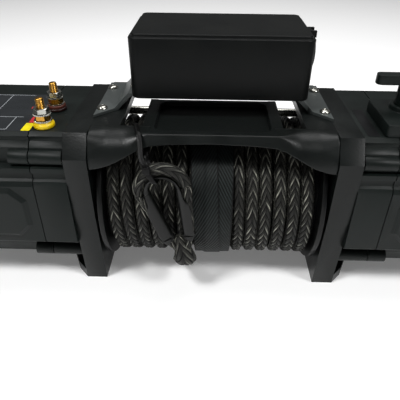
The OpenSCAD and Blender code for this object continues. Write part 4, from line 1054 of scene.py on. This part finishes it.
@dataclass
class RopePack:
    """The outer layer of wraps with the braid's strands as relief."""

    wraps: float = 14.375
    pitch: float = 13.85 * MM
    end_run: float = 0.025
    half_width: float = 6.9 * MM
    half_height: float = 6.0 * MM
    middle_radius: float = 71.0 * MM
    turns_each: tuple[float, ...] = (5.0, 5.0, 4.375)
    steps_a_turn: int = 340
    around: int = 34
    relief: float = 1.9 * MM

    def build(self) -> None:
        """Make the pack in pieces that lie end to end."""
        first = 0
        for number, turns in enumerate(self.turns_each):
            start = first - (self.end_run if number == 0 else 0)
            last = number == len(self.turns_each) - 1
            span = first + turns + (self.end_run if last else 0) - start
            lap = 2 * math.pi * self.middle_radius / PICK

            def place(across: np.ndarray, along: np.ndarray) -> np.ndarray:
                """Give points of the wraps for shares round the rope and along the piece."""
                return self.points(across, start + along * span, lap)

            bm = sleeve(self.around, round(self.steps_a_turn * span), place, "braid", (COLUMNS, lap * span))
            layer = bm.loops.layers.uv["braid"]
            shift = lap * start
            for face in bm.faces:
                for loop in face.loops:
                    across, along = loop[layer].uv
                    columns = self.spread(across / COLUMNS) * COLUMNS
                    loop[layer].uv = (columns, along + shift + uneven((along + shift) / lap, columns))
            finish_piece(f"rope_layer_{number + 1}", bm, Look.ROPE, "drum",
                         ("rope_wraps",) if number == 0 else ())
            first += turns

    def spread(self, share: np.ndarray) -> np.ndarray:
        """Crowd the section's points on the rope's outer side, where they are seen."""
        return share + 0.45 * np.sin(2 * math.pi * share) / (2 * math.pi)

    def points(self, across: np.ndarray, turns: np.ndarray, lap: float) -> np.ndarray:
        """Give the surface of the wraps.

        Args:
            across: Share round the rope, 0 on the side towards the drum.
            turns: Turns from the pack's start.
            lap: Pick lengths in one turn.

        Returns:
            Points in metres.
        """
        columns = self.spread(across) * COLUMNS
        section = columns / COLUMNS * 2 * math.pi - math.pi / 2
        height = braid_height(turns * lap + uneven(turns, columns), columns)
        # The rope is a little uneven in thickness, sways along the drum and sinks between the turns below.
        rough = 0.25 * np.sin(turns * 57.0 + 2.0) * np.sin(turns * 23.7) + 0.1 * np.sin(turns * 131.0)
        grow = 1 - 0.03 * (1 + rough)
        sink = self.relief * (1 - height)
        a = pack_angle(turns)
        sway = (np.sin(turns * 4.3 + 0.6) * 0.35 + np.sin(a * 2 + turns * 0.9) * 0.25) * MM
        drop = (0.5 + 0.5 * np.sin(turns * 9.1 + 1.0)) * 0.5 * MM
        dx = np.cos(section) * (self.half_width * grow - sink) + sway
        dr = np.sin(section) * (self.half_height * grow - sink) - drop
        x = -self.wraps * self.pitch / 2 + self.pitch * turns + dx
        radius = self.middle_radius + dr
        return np.stack([x, radius * np.cos(a), AXIS_Z + radius * np.sin(a)], axis=1)


@dataclass
class WearStrap:
    """The webbing strap, wound twice round the pack with its turns overlapped."""

    width: float = 27.0 * MM
    inner: float = 76.95 * MM
    thickness: float = 0.8 * MM
    turns: float = 2.0

    def build(self) -> None:
        bm = sleeve(24, 520, self.points, "cloth", (self.width, self.length()), tube=False)
        bmesh.ops.recalc_face_normals(bm, faces=bm.faces[:])
        layer = bm.loops.layers.uv["cloth"]
        for face in bm.faces:
            for loop in face.loops:
                across, along = loop[layer].uv
                if along < self.length() / 2:
                    loop[layer].uv = (self.width - across, along)
        piece = finish_piece("webbing_strap", bm, Look.WEBBING, "drum", ("wear_strap",))
        solid = piece.modifiers.new("thickness", "SOLIDIFY")
        solid.thickness = self.thickness
        solid.offset = 0.0
        self.length()

    def length(self) -> float:
        """Give the strap's length in metres."""
        return 2 * math.pi * (self.inner + 0.9 * MM) * self.turns

    def points(self, across: np.ndarray, along: np.ndarray) -> np.ndarray:
        """Give the strap's middle surface.

        Args:
            across: Share of the width.
            along: Share of the length.

        Returns:
            Points in metres.
        """
        turn = along * self.turns
        a = math.radians(80) - 2 * math.pi * turn
        # Over the drum the upper turn lies mostly beside the lower one, and under the drum further over it.
        low = 0.5 + 0.5 * np.cos(a - math.radians(262))
        upper = ease(np.clip((turn - 0.9) / 0.2, 0, 1))
        under = 8.5 - 1.4 * low
        middle = under + (-17.2 + 8.2 * low) * upper
        x = middle * MM + (across - 0.5) * self.width
        lap = np.clip((x / MM - (under - self.width / MM / 2 - 2.5)) / 3.5, 0, 1)
        tilt = upper * (0.1 + ease(lap))
        swell = 0.25 * np.sin(across * math.pi) ** 0.5 + 0.12 * np.sin(a * 7 + across * 9.0)
        radius = self.inner + self.thickness / 2 + (tilt + 0.12 + swell * 0.5) * MM
        return np.stack([x, radius * np.cos(a), AXIS_Z + radius * np.sin(a)], axis=1)


@dataclass
class RopeEye:
    """The braided eye round its thimble, the splice below it, and the cable tie that holds it up."""

    top: tuple[float, float] = (-45.6, 133.4)
    low: tuple[float, float] = (-33.0, 84.5)
    y: float = -86.0
    top_radius: float = 18.5
    low_radius: float = 11.7
    rope_diameter: float = 11.0 * MM
    splice_diameter: float = 15.0 * MM
    pick: float = 11.5 * MM
    step: float = 0.8 * MM
    relief: float = 1.6 * MM
    # How far the outline turns in below the lower arcs' middle, in degrees, and where the throat ends.
    foot_deg: float = 48.0
    throat_half: float = 4.5
    throat_down: float = 22.0
    throat: tuple[tuple[float, float, float], ...] = (
        (-32, -86, 78), (-30.4, -86.4, 72), (-28.4, -87.2, 65), (-26.4, -88, 58), (-25.2, -86.6, 50.5),
        (-26.2, -81, 43))
    # The tail lies on the pack: its radius, and its place along the drum at angles in degrees.
    tail_radius: float = 85.6
    tail: tuple[tuple[float, float], ...] = ((-30, 219), (-32, 227), (-32.5, 236), (-32.5, 246))
    tie_path: tuple[tuple[float, float, float], ...] = (
        (-58.5, -94, 158), (-61, -92, 163), (-64, -86, 168), (-65.5, -76, 174), (-68, -66, 180.4),
        (-71, -55, 180.6), (-73, -46, 180.4), (-74, -44, 178), (-73, -44, 171), (-71, -51, 168),
        (-65, -59, 166), (-62, -67, 158), (-58.5, -76, 153.5), (-52.6, -77.5, 145.3), (-50.8, -84, 143),
        (-51.8, -93.2, 144.5), (-55, -94.2, 150.3), (-57.5, -94, 155))
    tie_section: tuple[tuple[float, float], ...] = (
        (0.5, 2.35), (0.7, 2.1), (0.7, -2.1), (0.5, -2.35), (-0.5, -2.35), (-0.7, -2.1), (-0.7, 2.1),
        (-0.5, 2.35), (0.5, 2.35))
    tie_rib: float = 1.6 * MM
    tie_head: tuple[float, float, float] = (7.0, 4.2, 7.0)

    def __post_init__(self) -> None:
        """Work out the eye's lean and span."""
        dx, dz = self.top[0] - self.low[0], self.top[1] - self.low[1]
        self.span = math.hypot(dx, dz)
        self.lean = math.atan2(-dx, dz)

    def leaned(self, x: float, z: float) -> tuple[float, float, float]:
        """Give a point of the eye's own plane in metres in the shared frame."""
        c, s = math.cos(self.lean), math.sin(self.lean)
        return ((self.top[0] + x * c - z * s) * MM, self.y * MM, (self.top[1] + x * s + z * c) * MM)

    def outline(self, out_top: float, out_low: float, ends: bool) -> list[tuple[float, float]]:
        """Give the eye's outline in its own plane.

        Args:
            out_top: How far outside the thimble's middle line it runs over the top, in millimetres.
            out_low: The same for the legs' lower ends.
            ends: Whether it runs on down to the throat.

        Returns:
            Points from the left leg's foot over the top to the right leg's foot.
        """
        def arc(cz: float, r: float, a0: float, a1: float, n: int) -> list[tuple[float, float]]:
            """Give points on an arc about a point of the middle line."""
            angles = [math.radians(a0 + (a1 - a0) * i / n) for i in range(n + 1)]
            return [(r * math.cos(a), cz + r * math.sin(a)) for a in angles]

        top, low = self.top_radius + out_top, self.low_radius + out_low
        taper = math.degrees(math.asin((top - low) / self.span))
        points = arc(-self.span, low, 180 + self.foot_deg, 180 + taper, 6)
        points += arc(0, top, 180 + taper, -taper, 26)
        points += arc(-self.span, low, -taper, -self.foot_deg, 6)
        if ends:
            end = -self.span - self.throat_down
            points = [(-self.throat_half, end)] + points + [(self.throat_half, end)]
        return points

    def build(self) -> None:
        """Build the rope, the thimble and the tie."""
        thimble = self.thimble()
        self.rope()
        self.tie()

    def rope(self) -> None:
        """Build the braid round the thimble, and the splice and tail below it.
        """
        eye = [self.leaned(x, z) for x, z in self.outline(3.4, 1.0, True)]
        loop = Route(smooth_path(eye, self.step), (0, 1, 0))
        bm = self.braided(loop, self.loop_radii, 34)
        piece = finish_piece("rope_eye_braid", bm, Look.ROPE, "frame", ("rope_eye",))
        points = list(self.throat)
        for x, degrees in self.tail:
            a = math.radians(degrees)
            points.append((x, self.tail_radius * math.cos(a), AXIS_Z / MM + self.tail_radius * math.sin(a)))
        below = Route(smooth_path([tuple(c * MM for c in p) for p in points], self.step), (-1, 0, 0))
        bm = self.braided(below, self.throat_radii, 40)
        low = finish_piece("rope_splice", bm, Look.ROPE, "frame")

    def loop_radii(self, share: np.ndarray) -> tuple[np.ndarray, np.ndarray]:
        """Give the loop's half width in and across its plane: full over the top, drawn thin in the legs."""
        leg = ease(np.clip((np.abs(share - 0.5) - 0.12) / 0.14, 0, 1))
        return (6.3 - 1.2 * leg) * MM, (6.3 - 1.1 * leg) * MM

    def throat_radii(self, share: np.ndarray) -> tuple[np.ndarray, np.ndarray]:
        """Give the splice's half thickness and half width: narrow, then doubled rope, then a single tail."""
        wide = ease(np.clip((share - 0.02) / 0.3, 0, 1))
        blunt = np.clip(share / 0.08, 0, 1) ** 0.4
        tail = np.clip((share - 0.48) / 0.2, 0, 1)
        thick = 6.2 + 1.2 * wide - 2.2 * tail
        return thick * MM * (0.6 + 0.4 * blunt), (6.8 + 4.8 * wide - 5.3 * tail) * MM * (0.7 + 0.3 * blunt)

    def braided(self, route: Route, radii: Callable[[np.ndarray], tuple[np.ndarray, np.ndarray]],
                around: int) -> bmesh.types.BMesh:
        """Sweep a braided rope along a path.

        Args:
            route: The path.
            radii: Gives the two half widths for shares along the path.
            around: Faces round the rope.

        Returns:
            The rope.
        """
        picks = route.length / self.pick

        def place(across: np.ndarray, along: np.ndarray) -> np.ndarray:
            """Give points of the rope's surface."""
            middle, normal, side = route.at(along)
            a = across * 2 * math.pi
            ra, rb = radii(along)
            sink = self.relief * (1 - braid_height(along * picks, across * COLUMNS))
            wobble = 0.25 * MM * np.sin(along * 37.0) * np.sin(along * 19.0 + 1.0)
            return (middle + normal * (np.cos(a) * (ra - sink) + wobble)[:, None]
                    + side * (np.sin(a) * (rb - sink))[:, None])

        return sleeve(around, round(route.length / (0.9 * MM)), place, "braid", (COLUMNS, picks))

    def thimble(self) -> bpy.types.Object:
        """Sweep the thimble's channel round the eye, with rounded lips.

        Returns:
            The thimble's piece.
        """
        line = smooth_path([self.leaned(x, z) for x, z in self.outline(0.0, 0.0, False)], 1.0 * MM)
        route = Route(line, (0, 1, 0))
        half, bed = 6.4, 5.6
        outer = [(-half * math.cos(math.radians(t)), half * math.sin(math.radians(t)))
                 for t in range(-90, 91, 12)]
        lips = [(0.9, half), (1.5, 6.2), (1.65, 5.75), (1.5, 5.35)]
        groove = [(3.0 - bed * math.cos(math.radians(t)), bed * math.sin(math.radians(t)))
                  for t in range(74, -75, -12)]
        section = outer + lips + groove + [(n, -b) for n, b in reversed(lips)]
        shape = np.array(section + [section[0]]) * MM
        marks = np.linspace(0, 1, len(shape))
        first = len(outer) + len(lips)
        inside = np.zeros(len(shape))
        inside[first + 3:first + len(groove) - 3] = 1.0

        def place(across: np.ndarray, along: np.ndarray) -> np.ndarray:
            """Give points of the channel."""
            middle, normal, side = route.at(along)
            n = np.interp(across, marks, shape[:, 0])
            b = np.interp(across, marks, shape[:, 1])
            # Down the legs the groove closes and the channel becomes a thick bar.
            lift = ease(np.clip(np.abs(along - 0.5) * 2 - 0.3, 0, 0.3) / 0.3)
            groove_part = np.interp(across, marks, inside)
            n = np.minimum(n - 1.9 * MM * lift * groove_part, (-1.6 + 3.3 * lift) * MM)
            n = n + np.where(n > 0, 3.6 * MM * lift * np.clip(n / (0.9 * MM), 0, 1), 0)
            seam = 1 - 0.07 * np.exp(-((along - 0.5) * route.length / (0.7 * MM)) ** 2)
            rim = 1 - 0.12 * np.clip(1 - np.minimum(along, 1 - along) * route.length / (1.2 * MM), 0, 1) ** 2
            return middle + normal * (n * seam * rim)[:, None] + side * (b * seam * rim)[:, None]

        bm = sleeve(len(section), round(route.length / MM), place, "surface", (1, 1))
        return finish_piece("thimble_channel", bm, Look.THIMBLE, "frame", ("thimble",))

    def tie(self) -> None:
        """Sweep the ribbed cable tie and put its head on it."""
        line = smooth_path([tuple(c * MM for c in p) for p in self.tie_path], 0.4 * MM)
        route = Route(line, (1, 0, 0))
        shape = np.array(self.tie_section) * MM
        marks = np.linspace(0, 1, len(shape))
        ribs = route.length / self.tie_rib

        def place(across: np.ndarray, along: np.ndarray) -> np.ndarray:
            """Give points of the strap, with fine ribs on its flat sides."""
            middle, normal, side = route.at(along)
            n = np.interp(across, marks, shape[:, 0])
            b = np.interp(across, marks, shape[:, 1])
            rib = 1 - 0.3 * (np.abs((along * ribs) % 1 - 0.5) * 2) ** 2
            return middle + normal * (n * rib)[:, None] + side * b[:, None]

        strap = sleeve(8, round(route.length / (0.4 * MM)), place, "surface", (1, 1))
        head = bmesh.new()
        bmesh.ops.create_cube(head, size=1.0)
        bmesh.ops.scale(head, vec=Vector(self.tie_head) * MM, verts=head.verts[:])
        bmesh.ops.bevel(head, geom=head.edges[:], offset=0.9 * MM, affect="EDGES", segments=3, profile=0.5,
                        material=-1)
        top = [f for f in head.faces if f.normal.z > 0.9]
        bmesh.ops.inset_region(head, faces=top, thickness=1.0 * MM, depth=-0.8 * MM)
        moved(head, self.tie_path[0])
        finish_piece("cable_tie_ribbed", joined([strap, head]), Look.TIE, "frame", ("cable_tie",))


def plate(corners: list[tuple[float, float]], thick: float, round_by: float) -> bmesh.types.BMesh:
    """Cut a thin plate with rounded corners, lying on the XY plane.

    Args:
        corners: Its corners in millimetres.
        thick: Its thickness in millimetres.
        round_by: Size of its rounded corners in millimetres.

    Returns:
        The plate.
    """
    bm = bmesh.new()
    bmesh.ops.create_circle(bm, cap_ends=True, segments=len(corners), radius=1.0)
    bm.verts.ensure_lookup_table()
    for vert, (x, y) in zip(bm.verts, corners):
        vert.co = (x * MM, y * MM, 0)
    if round_by:
        bmesh.ops.bevel(bm, geom=bm.verts[:], offset=round_by * MM, affect="VERTICES", segments=4,
                        profile=0.5, material=-1)
    grown = bmesh.ops.extrude_face_region(bm, geom=bm.faces[:])
    up = [v for v in grown["geom"] if isinstance(v, bmesh.types.BMVert)]
    bmesh.ops.translate(bm, vec=(0, 0, thick * MM), verts=up)
    bmesh.ops.recalc_face_normals(bm, faces=bm.faces[:])
    return bm


@dataclass
class Badges:
    """The raised octagonal fields on the covers' fronts, left bare, with broad chamfers."""

    x0: float = 182.0
    x1: float = 252.0
    z0: float = 70.0
    z1: float = 124.5
    cut: float = 13.0
    face_y: float = -79.0
    rise: float = 3.0
    chamfer: float = 5.0

    def build(self) -> None:
        """Build both fields."""
        for name, side in (("badge_motor", -1), ("badge_gear", 1)):
            base, front = self.octagon(self.chamfer * 0.5), self.octagon(-self.chamfer * 0.5)
            bm = bmesh.new()
            bmesh.ops.create_circle(bm, cap_ends=True, segments=8, radius=1.0)
            bm.verts.ensure_lookup_table()
            for vert, (x, z) in zip(bm.verts, base):
                vert.co = (side * x * MM, (self.face_y + 0.4) * MM, z * MM)
            grown = bmesh.ops.extrude_face_region(bm, geom=bm.faces[:])
            raised = [v for v in grown["geom"] if isinstance(v, bmesh.types.BMVert)]
            for vert in raised:
                nearest = min(range(8), key=lambda k: (side * base[k][0] * MM - vert.co.x) ** 2
                              + (base[k][1] * MM - vert.co.z) ** 2)
                x, z = front[nearest]
                vert.co = (side * x * MM, (self.face_y - self.rise) * MM, z * MM)
            bmesh.ops.recalc_face_normals(bm, faces=bm.faces[:])
            piece = finish_piece(name, bm, Look.MOULDED, "frame", (), False)
            round_edges(piece, 0.5 * MM, 2, 10)

    def octagon(self, out: float) -> list[tuple[float, float]]:
        """Give the field's corners, moved outwards by a distance in millimetres."""
        x0, x1, z0, z1 = self.x0 - out, self.x1 + out, self.z0 - out, self.z1 + out
        cut = self.cut + out * 0.59
        return [(x0, z0 + cut), (x0 + cut, z0), (x1 - cut, z0), (x1, z0 + cut), (x1, z1 - cut),
                (x1 - cut, z1), (x0 + cut, z1), (x0, z1 - cut)]


def rectangle(x0: float, y0: float, x1: float, y1: float) -> list[tuple[float, float]]:
    """Give a rectangle's corners, going round."""
    return [(x0, y0), (x1, y0), (x1, y1), (x0, y1)]


@dataclass
class Labels:
    """Plain vinyl labels on the housings' tops, with bare fields, thin rules and colour patches."""

    top: float = 178.0
    thick: float = 0.15
    field_lift: float = 0.02
    patch_lift: float = 0.19
    rule_lift: float = 0.2
    patch_round: float = 0.6
    motor_field: tuple[float, float, float, float] = (-250, -60.5, -169.6, 30)
    gear_field: tuple[float, float, float, float] = (143, -58, 154, 4)
    rules: tuple[tuple[float, float, float, float], ...] = (
        (-247, -58.2, -193, -57.6), (-247, 26.8, -193, 27.4), (-247, -30, -186, -29.5),
        (-193.6, -58.2, -193, -30), (-218, -29.5, -217.5, 26.8))
    yellow_patch: tuple[float, float, float, float] = (-178.6, -60.2, -170.4, -43.6)
    red_patch: tuple[float, float, float, float] = (-177, -42.6, -170.4, -29)
    small_red_patch: tuple[float, float, float, float] = (-186, -9, -179, -4)

    def build(self) -> None:
        """Build the labels of both housings."""
        self.flat("label_motor", self.motor_field, Look.LABEL, self.field_lift, 3)
        self.flat("label_gear", self.gear_field, Look.DARK_LABEL, self.field_lift, 2)
        rules = [moved(plate(rectangle(*sides), self.thick, 0), (0, 0, self.top + self.rule_lift))
                 for sides in self.rules]
        finish_piece("label_rules", joined(rules), Look.WHITE_LABEL, "frame", (), False)
        for name, sides, look in (("patch_yellow", self.yellow_patch, Look.YELLOW_LABEL),
                                  ("patch_red", self.red_patch, Look.RED_LABEL),
                                  ("patch_red_small", self.small_red_patch, Look.RED_LABEL)):
            self.flat(name, sides, look, self.patch_lift, self.patch_round)

    def flat(self, name: str, sides: tuple[float, float, float, float], look: Look, lift: float,
             round_by: float) -> None:
        """Lay one flat piece on the housing's top.

        Args:
            name: The piece's name.
            sides: Its lower X and Y and its upper X and Y, in millimetres.
            look: Its finish.
            lift: Its height over the housing in millimetres.
            round_by: Size of its rounded corners in millimetres.
        """
        bm = moved(plate(rectangle(*sides), self.thick, round_by), (0, 0, self.top + lift))
        finish_piece(name, bm, look, "frame", (), False)


@dataclass
class CameraAndLight:
    """The photograph's viewpoint, a pale floor and soft studio light."""

    place: tuple[float, float, float] = (-0.00298, -0.42761, 0.35713)
    down_deg: float = 34.49
    yaw_deg: float = 1.29
    roll_deg: float = -0.54
    lens: float = 39.54
    sensor: float = 36.0
    near: float = 0.01
    world_strength: float = 0.1
    floor_half: float = 6.0
    floor_glow: float = 0.14
    aim: tuple[float, float, float] = (0, 0, 0.1)
    # Each lamp: its name, its place, its power in watts and its side in metres.
    lamps: tuple[tuple[str, tuple[float, float, float], float, float], ...] = (
        ("key_light", (-0.9, -0.8, 1.9), 28.0, 0.4), ("fill_light", (1.2, -0.8, 1.6), 19.0, 0.4),
        ("top_light", (0.1, 0.6, 1.9), 20.0, 1.2), ("front_light", (0.0, -2.0, 0.45), 0.8, 1.2))

    def build(self) -> None:
        """Set the camera, floor and lights."""
        p, r, w = (math.radians(v) for v in (self.down_deg, self.roll_deg, self.yaw_deg))
        right = Vector((1, 0, 0))
        ahead = Vector((0, math.cos(p), -math.sin(p)))
        down = Vector((0, -math.sin(p), -math.cos(p)))
        side = math.cos(r) * right + math.sin(r) * down
        below = -math.sin(r) * right + math.cos(r) * down
        turn = Matrix.Rotation(w, 3, "Z")
        axes = Matrix((turn @ side, -(turn @ below), -(turn @ ahead))).transposed()
        data = bpy.data.cameras.new("camera")
        data.lens = self.lens
        data.sensor_width = self.sensor
        data.sensor_fit = "HORIZONTAL"
        data.clip_start = self.near
        camera = bpy.data.objects.new("camera", data)
        camera.matrix_world = Matrix.Translation(self.place) @ axes.to_4x4()
        bpy.context.scene.collection.objects.link(camera)
        bpy.context.scene.camera = camera
        self.floor()
        for name, place, power, size in self.lamps:
            self.lamp(name, place, power, size)
        world = bpy.data.worlds.new("studio")
        world.use_nodes = True
        back = world.node_tree.nodes["Background"]
        back.inputs["Color"].default_value = (1, 1, 1, 1)
        back.inputs["Strength"].default_value = self.world_strength
        bpy.context.scene.world = world
        bpy.context.scene.view_settings.view_transform = "Standard"

    def floor(self) -> None:
        """Lay the plain pale floor."""
        bm = bmesh.new()
        bmesh.ops.create_grid(bm, x_segments=1, y_segments=1, size=self.floor_half)
        mesh = bpy.data.meshes.new("floor")
        bm.to_mesh(mesh)
        bm.free()
        mat, _, _ = new_material("floor_paper", {
            "Base Color": (0.95, 0.95, 0.95, 1), "Roughness": 0.9, "Specular IOR Level": 0.1,
            "Emission Color": (1, 1, 1, 1), "Emission Strength": self.floor_glow})
        mesh.materials.append(mat)
        floor = bpy.data.objects.new("floor", mesh)
        bpy.context.scene.collection.objects.link(floor)

    def lamp(self, name: str, place: tuple[float, float, float], power: float, size: float) -> None:
        """Hang one soft lamp that faces the winch.

        Args:
            name: The lamp's name.
            place: Its place.
            power: Its power in watts.
            size: The side of its square.
        """
        data = bpy.data.lights.new(name, "AREA")
        data.energy = power
        data.size = size
        lamp = bpy.data.objects.new(name, data)
        lamp.location = place
        lamp.rotation_euler = (Vector(self.aim) - Vector(place)).to_track_quat("-Z", "Y").to_euler()
        bpy.context.scene.collection.objects.link(lamp)


def dress_nodes() -> None:
    """Give every CAD node its finish."""
    looks = {node: look for look, nodes in NODE_LOOKS.items() for node in nodes}
    for name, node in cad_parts.items():
        look = looks.get(name, Look.GEAR)
        node.data.materials.clear()
        node.data.materials.append(look.material())


def main() -> None:
    """Build the whole scene in order."""
    logging.basicConfig(level=logging.INFO, format="%(relativeCreated)d ms  %(message)s")
    CameraAndLight().build()
    dress_nodes()
    RopePack().build()
    RopeEye().build()
    WearStrap().build()
    Castings().build()
    Bridge().build()
    Terminals().build()
    Screws().build()
    Badges().build()
    Labels().build()


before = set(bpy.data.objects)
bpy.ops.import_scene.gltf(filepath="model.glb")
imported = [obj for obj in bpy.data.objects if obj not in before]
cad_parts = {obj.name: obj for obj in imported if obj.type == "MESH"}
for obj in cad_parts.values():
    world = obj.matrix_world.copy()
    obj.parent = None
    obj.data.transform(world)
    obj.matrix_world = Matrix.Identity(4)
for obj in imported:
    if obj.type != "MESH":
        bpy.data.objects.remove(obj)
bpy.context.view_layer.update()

if __name__ == "__main__":
    main()
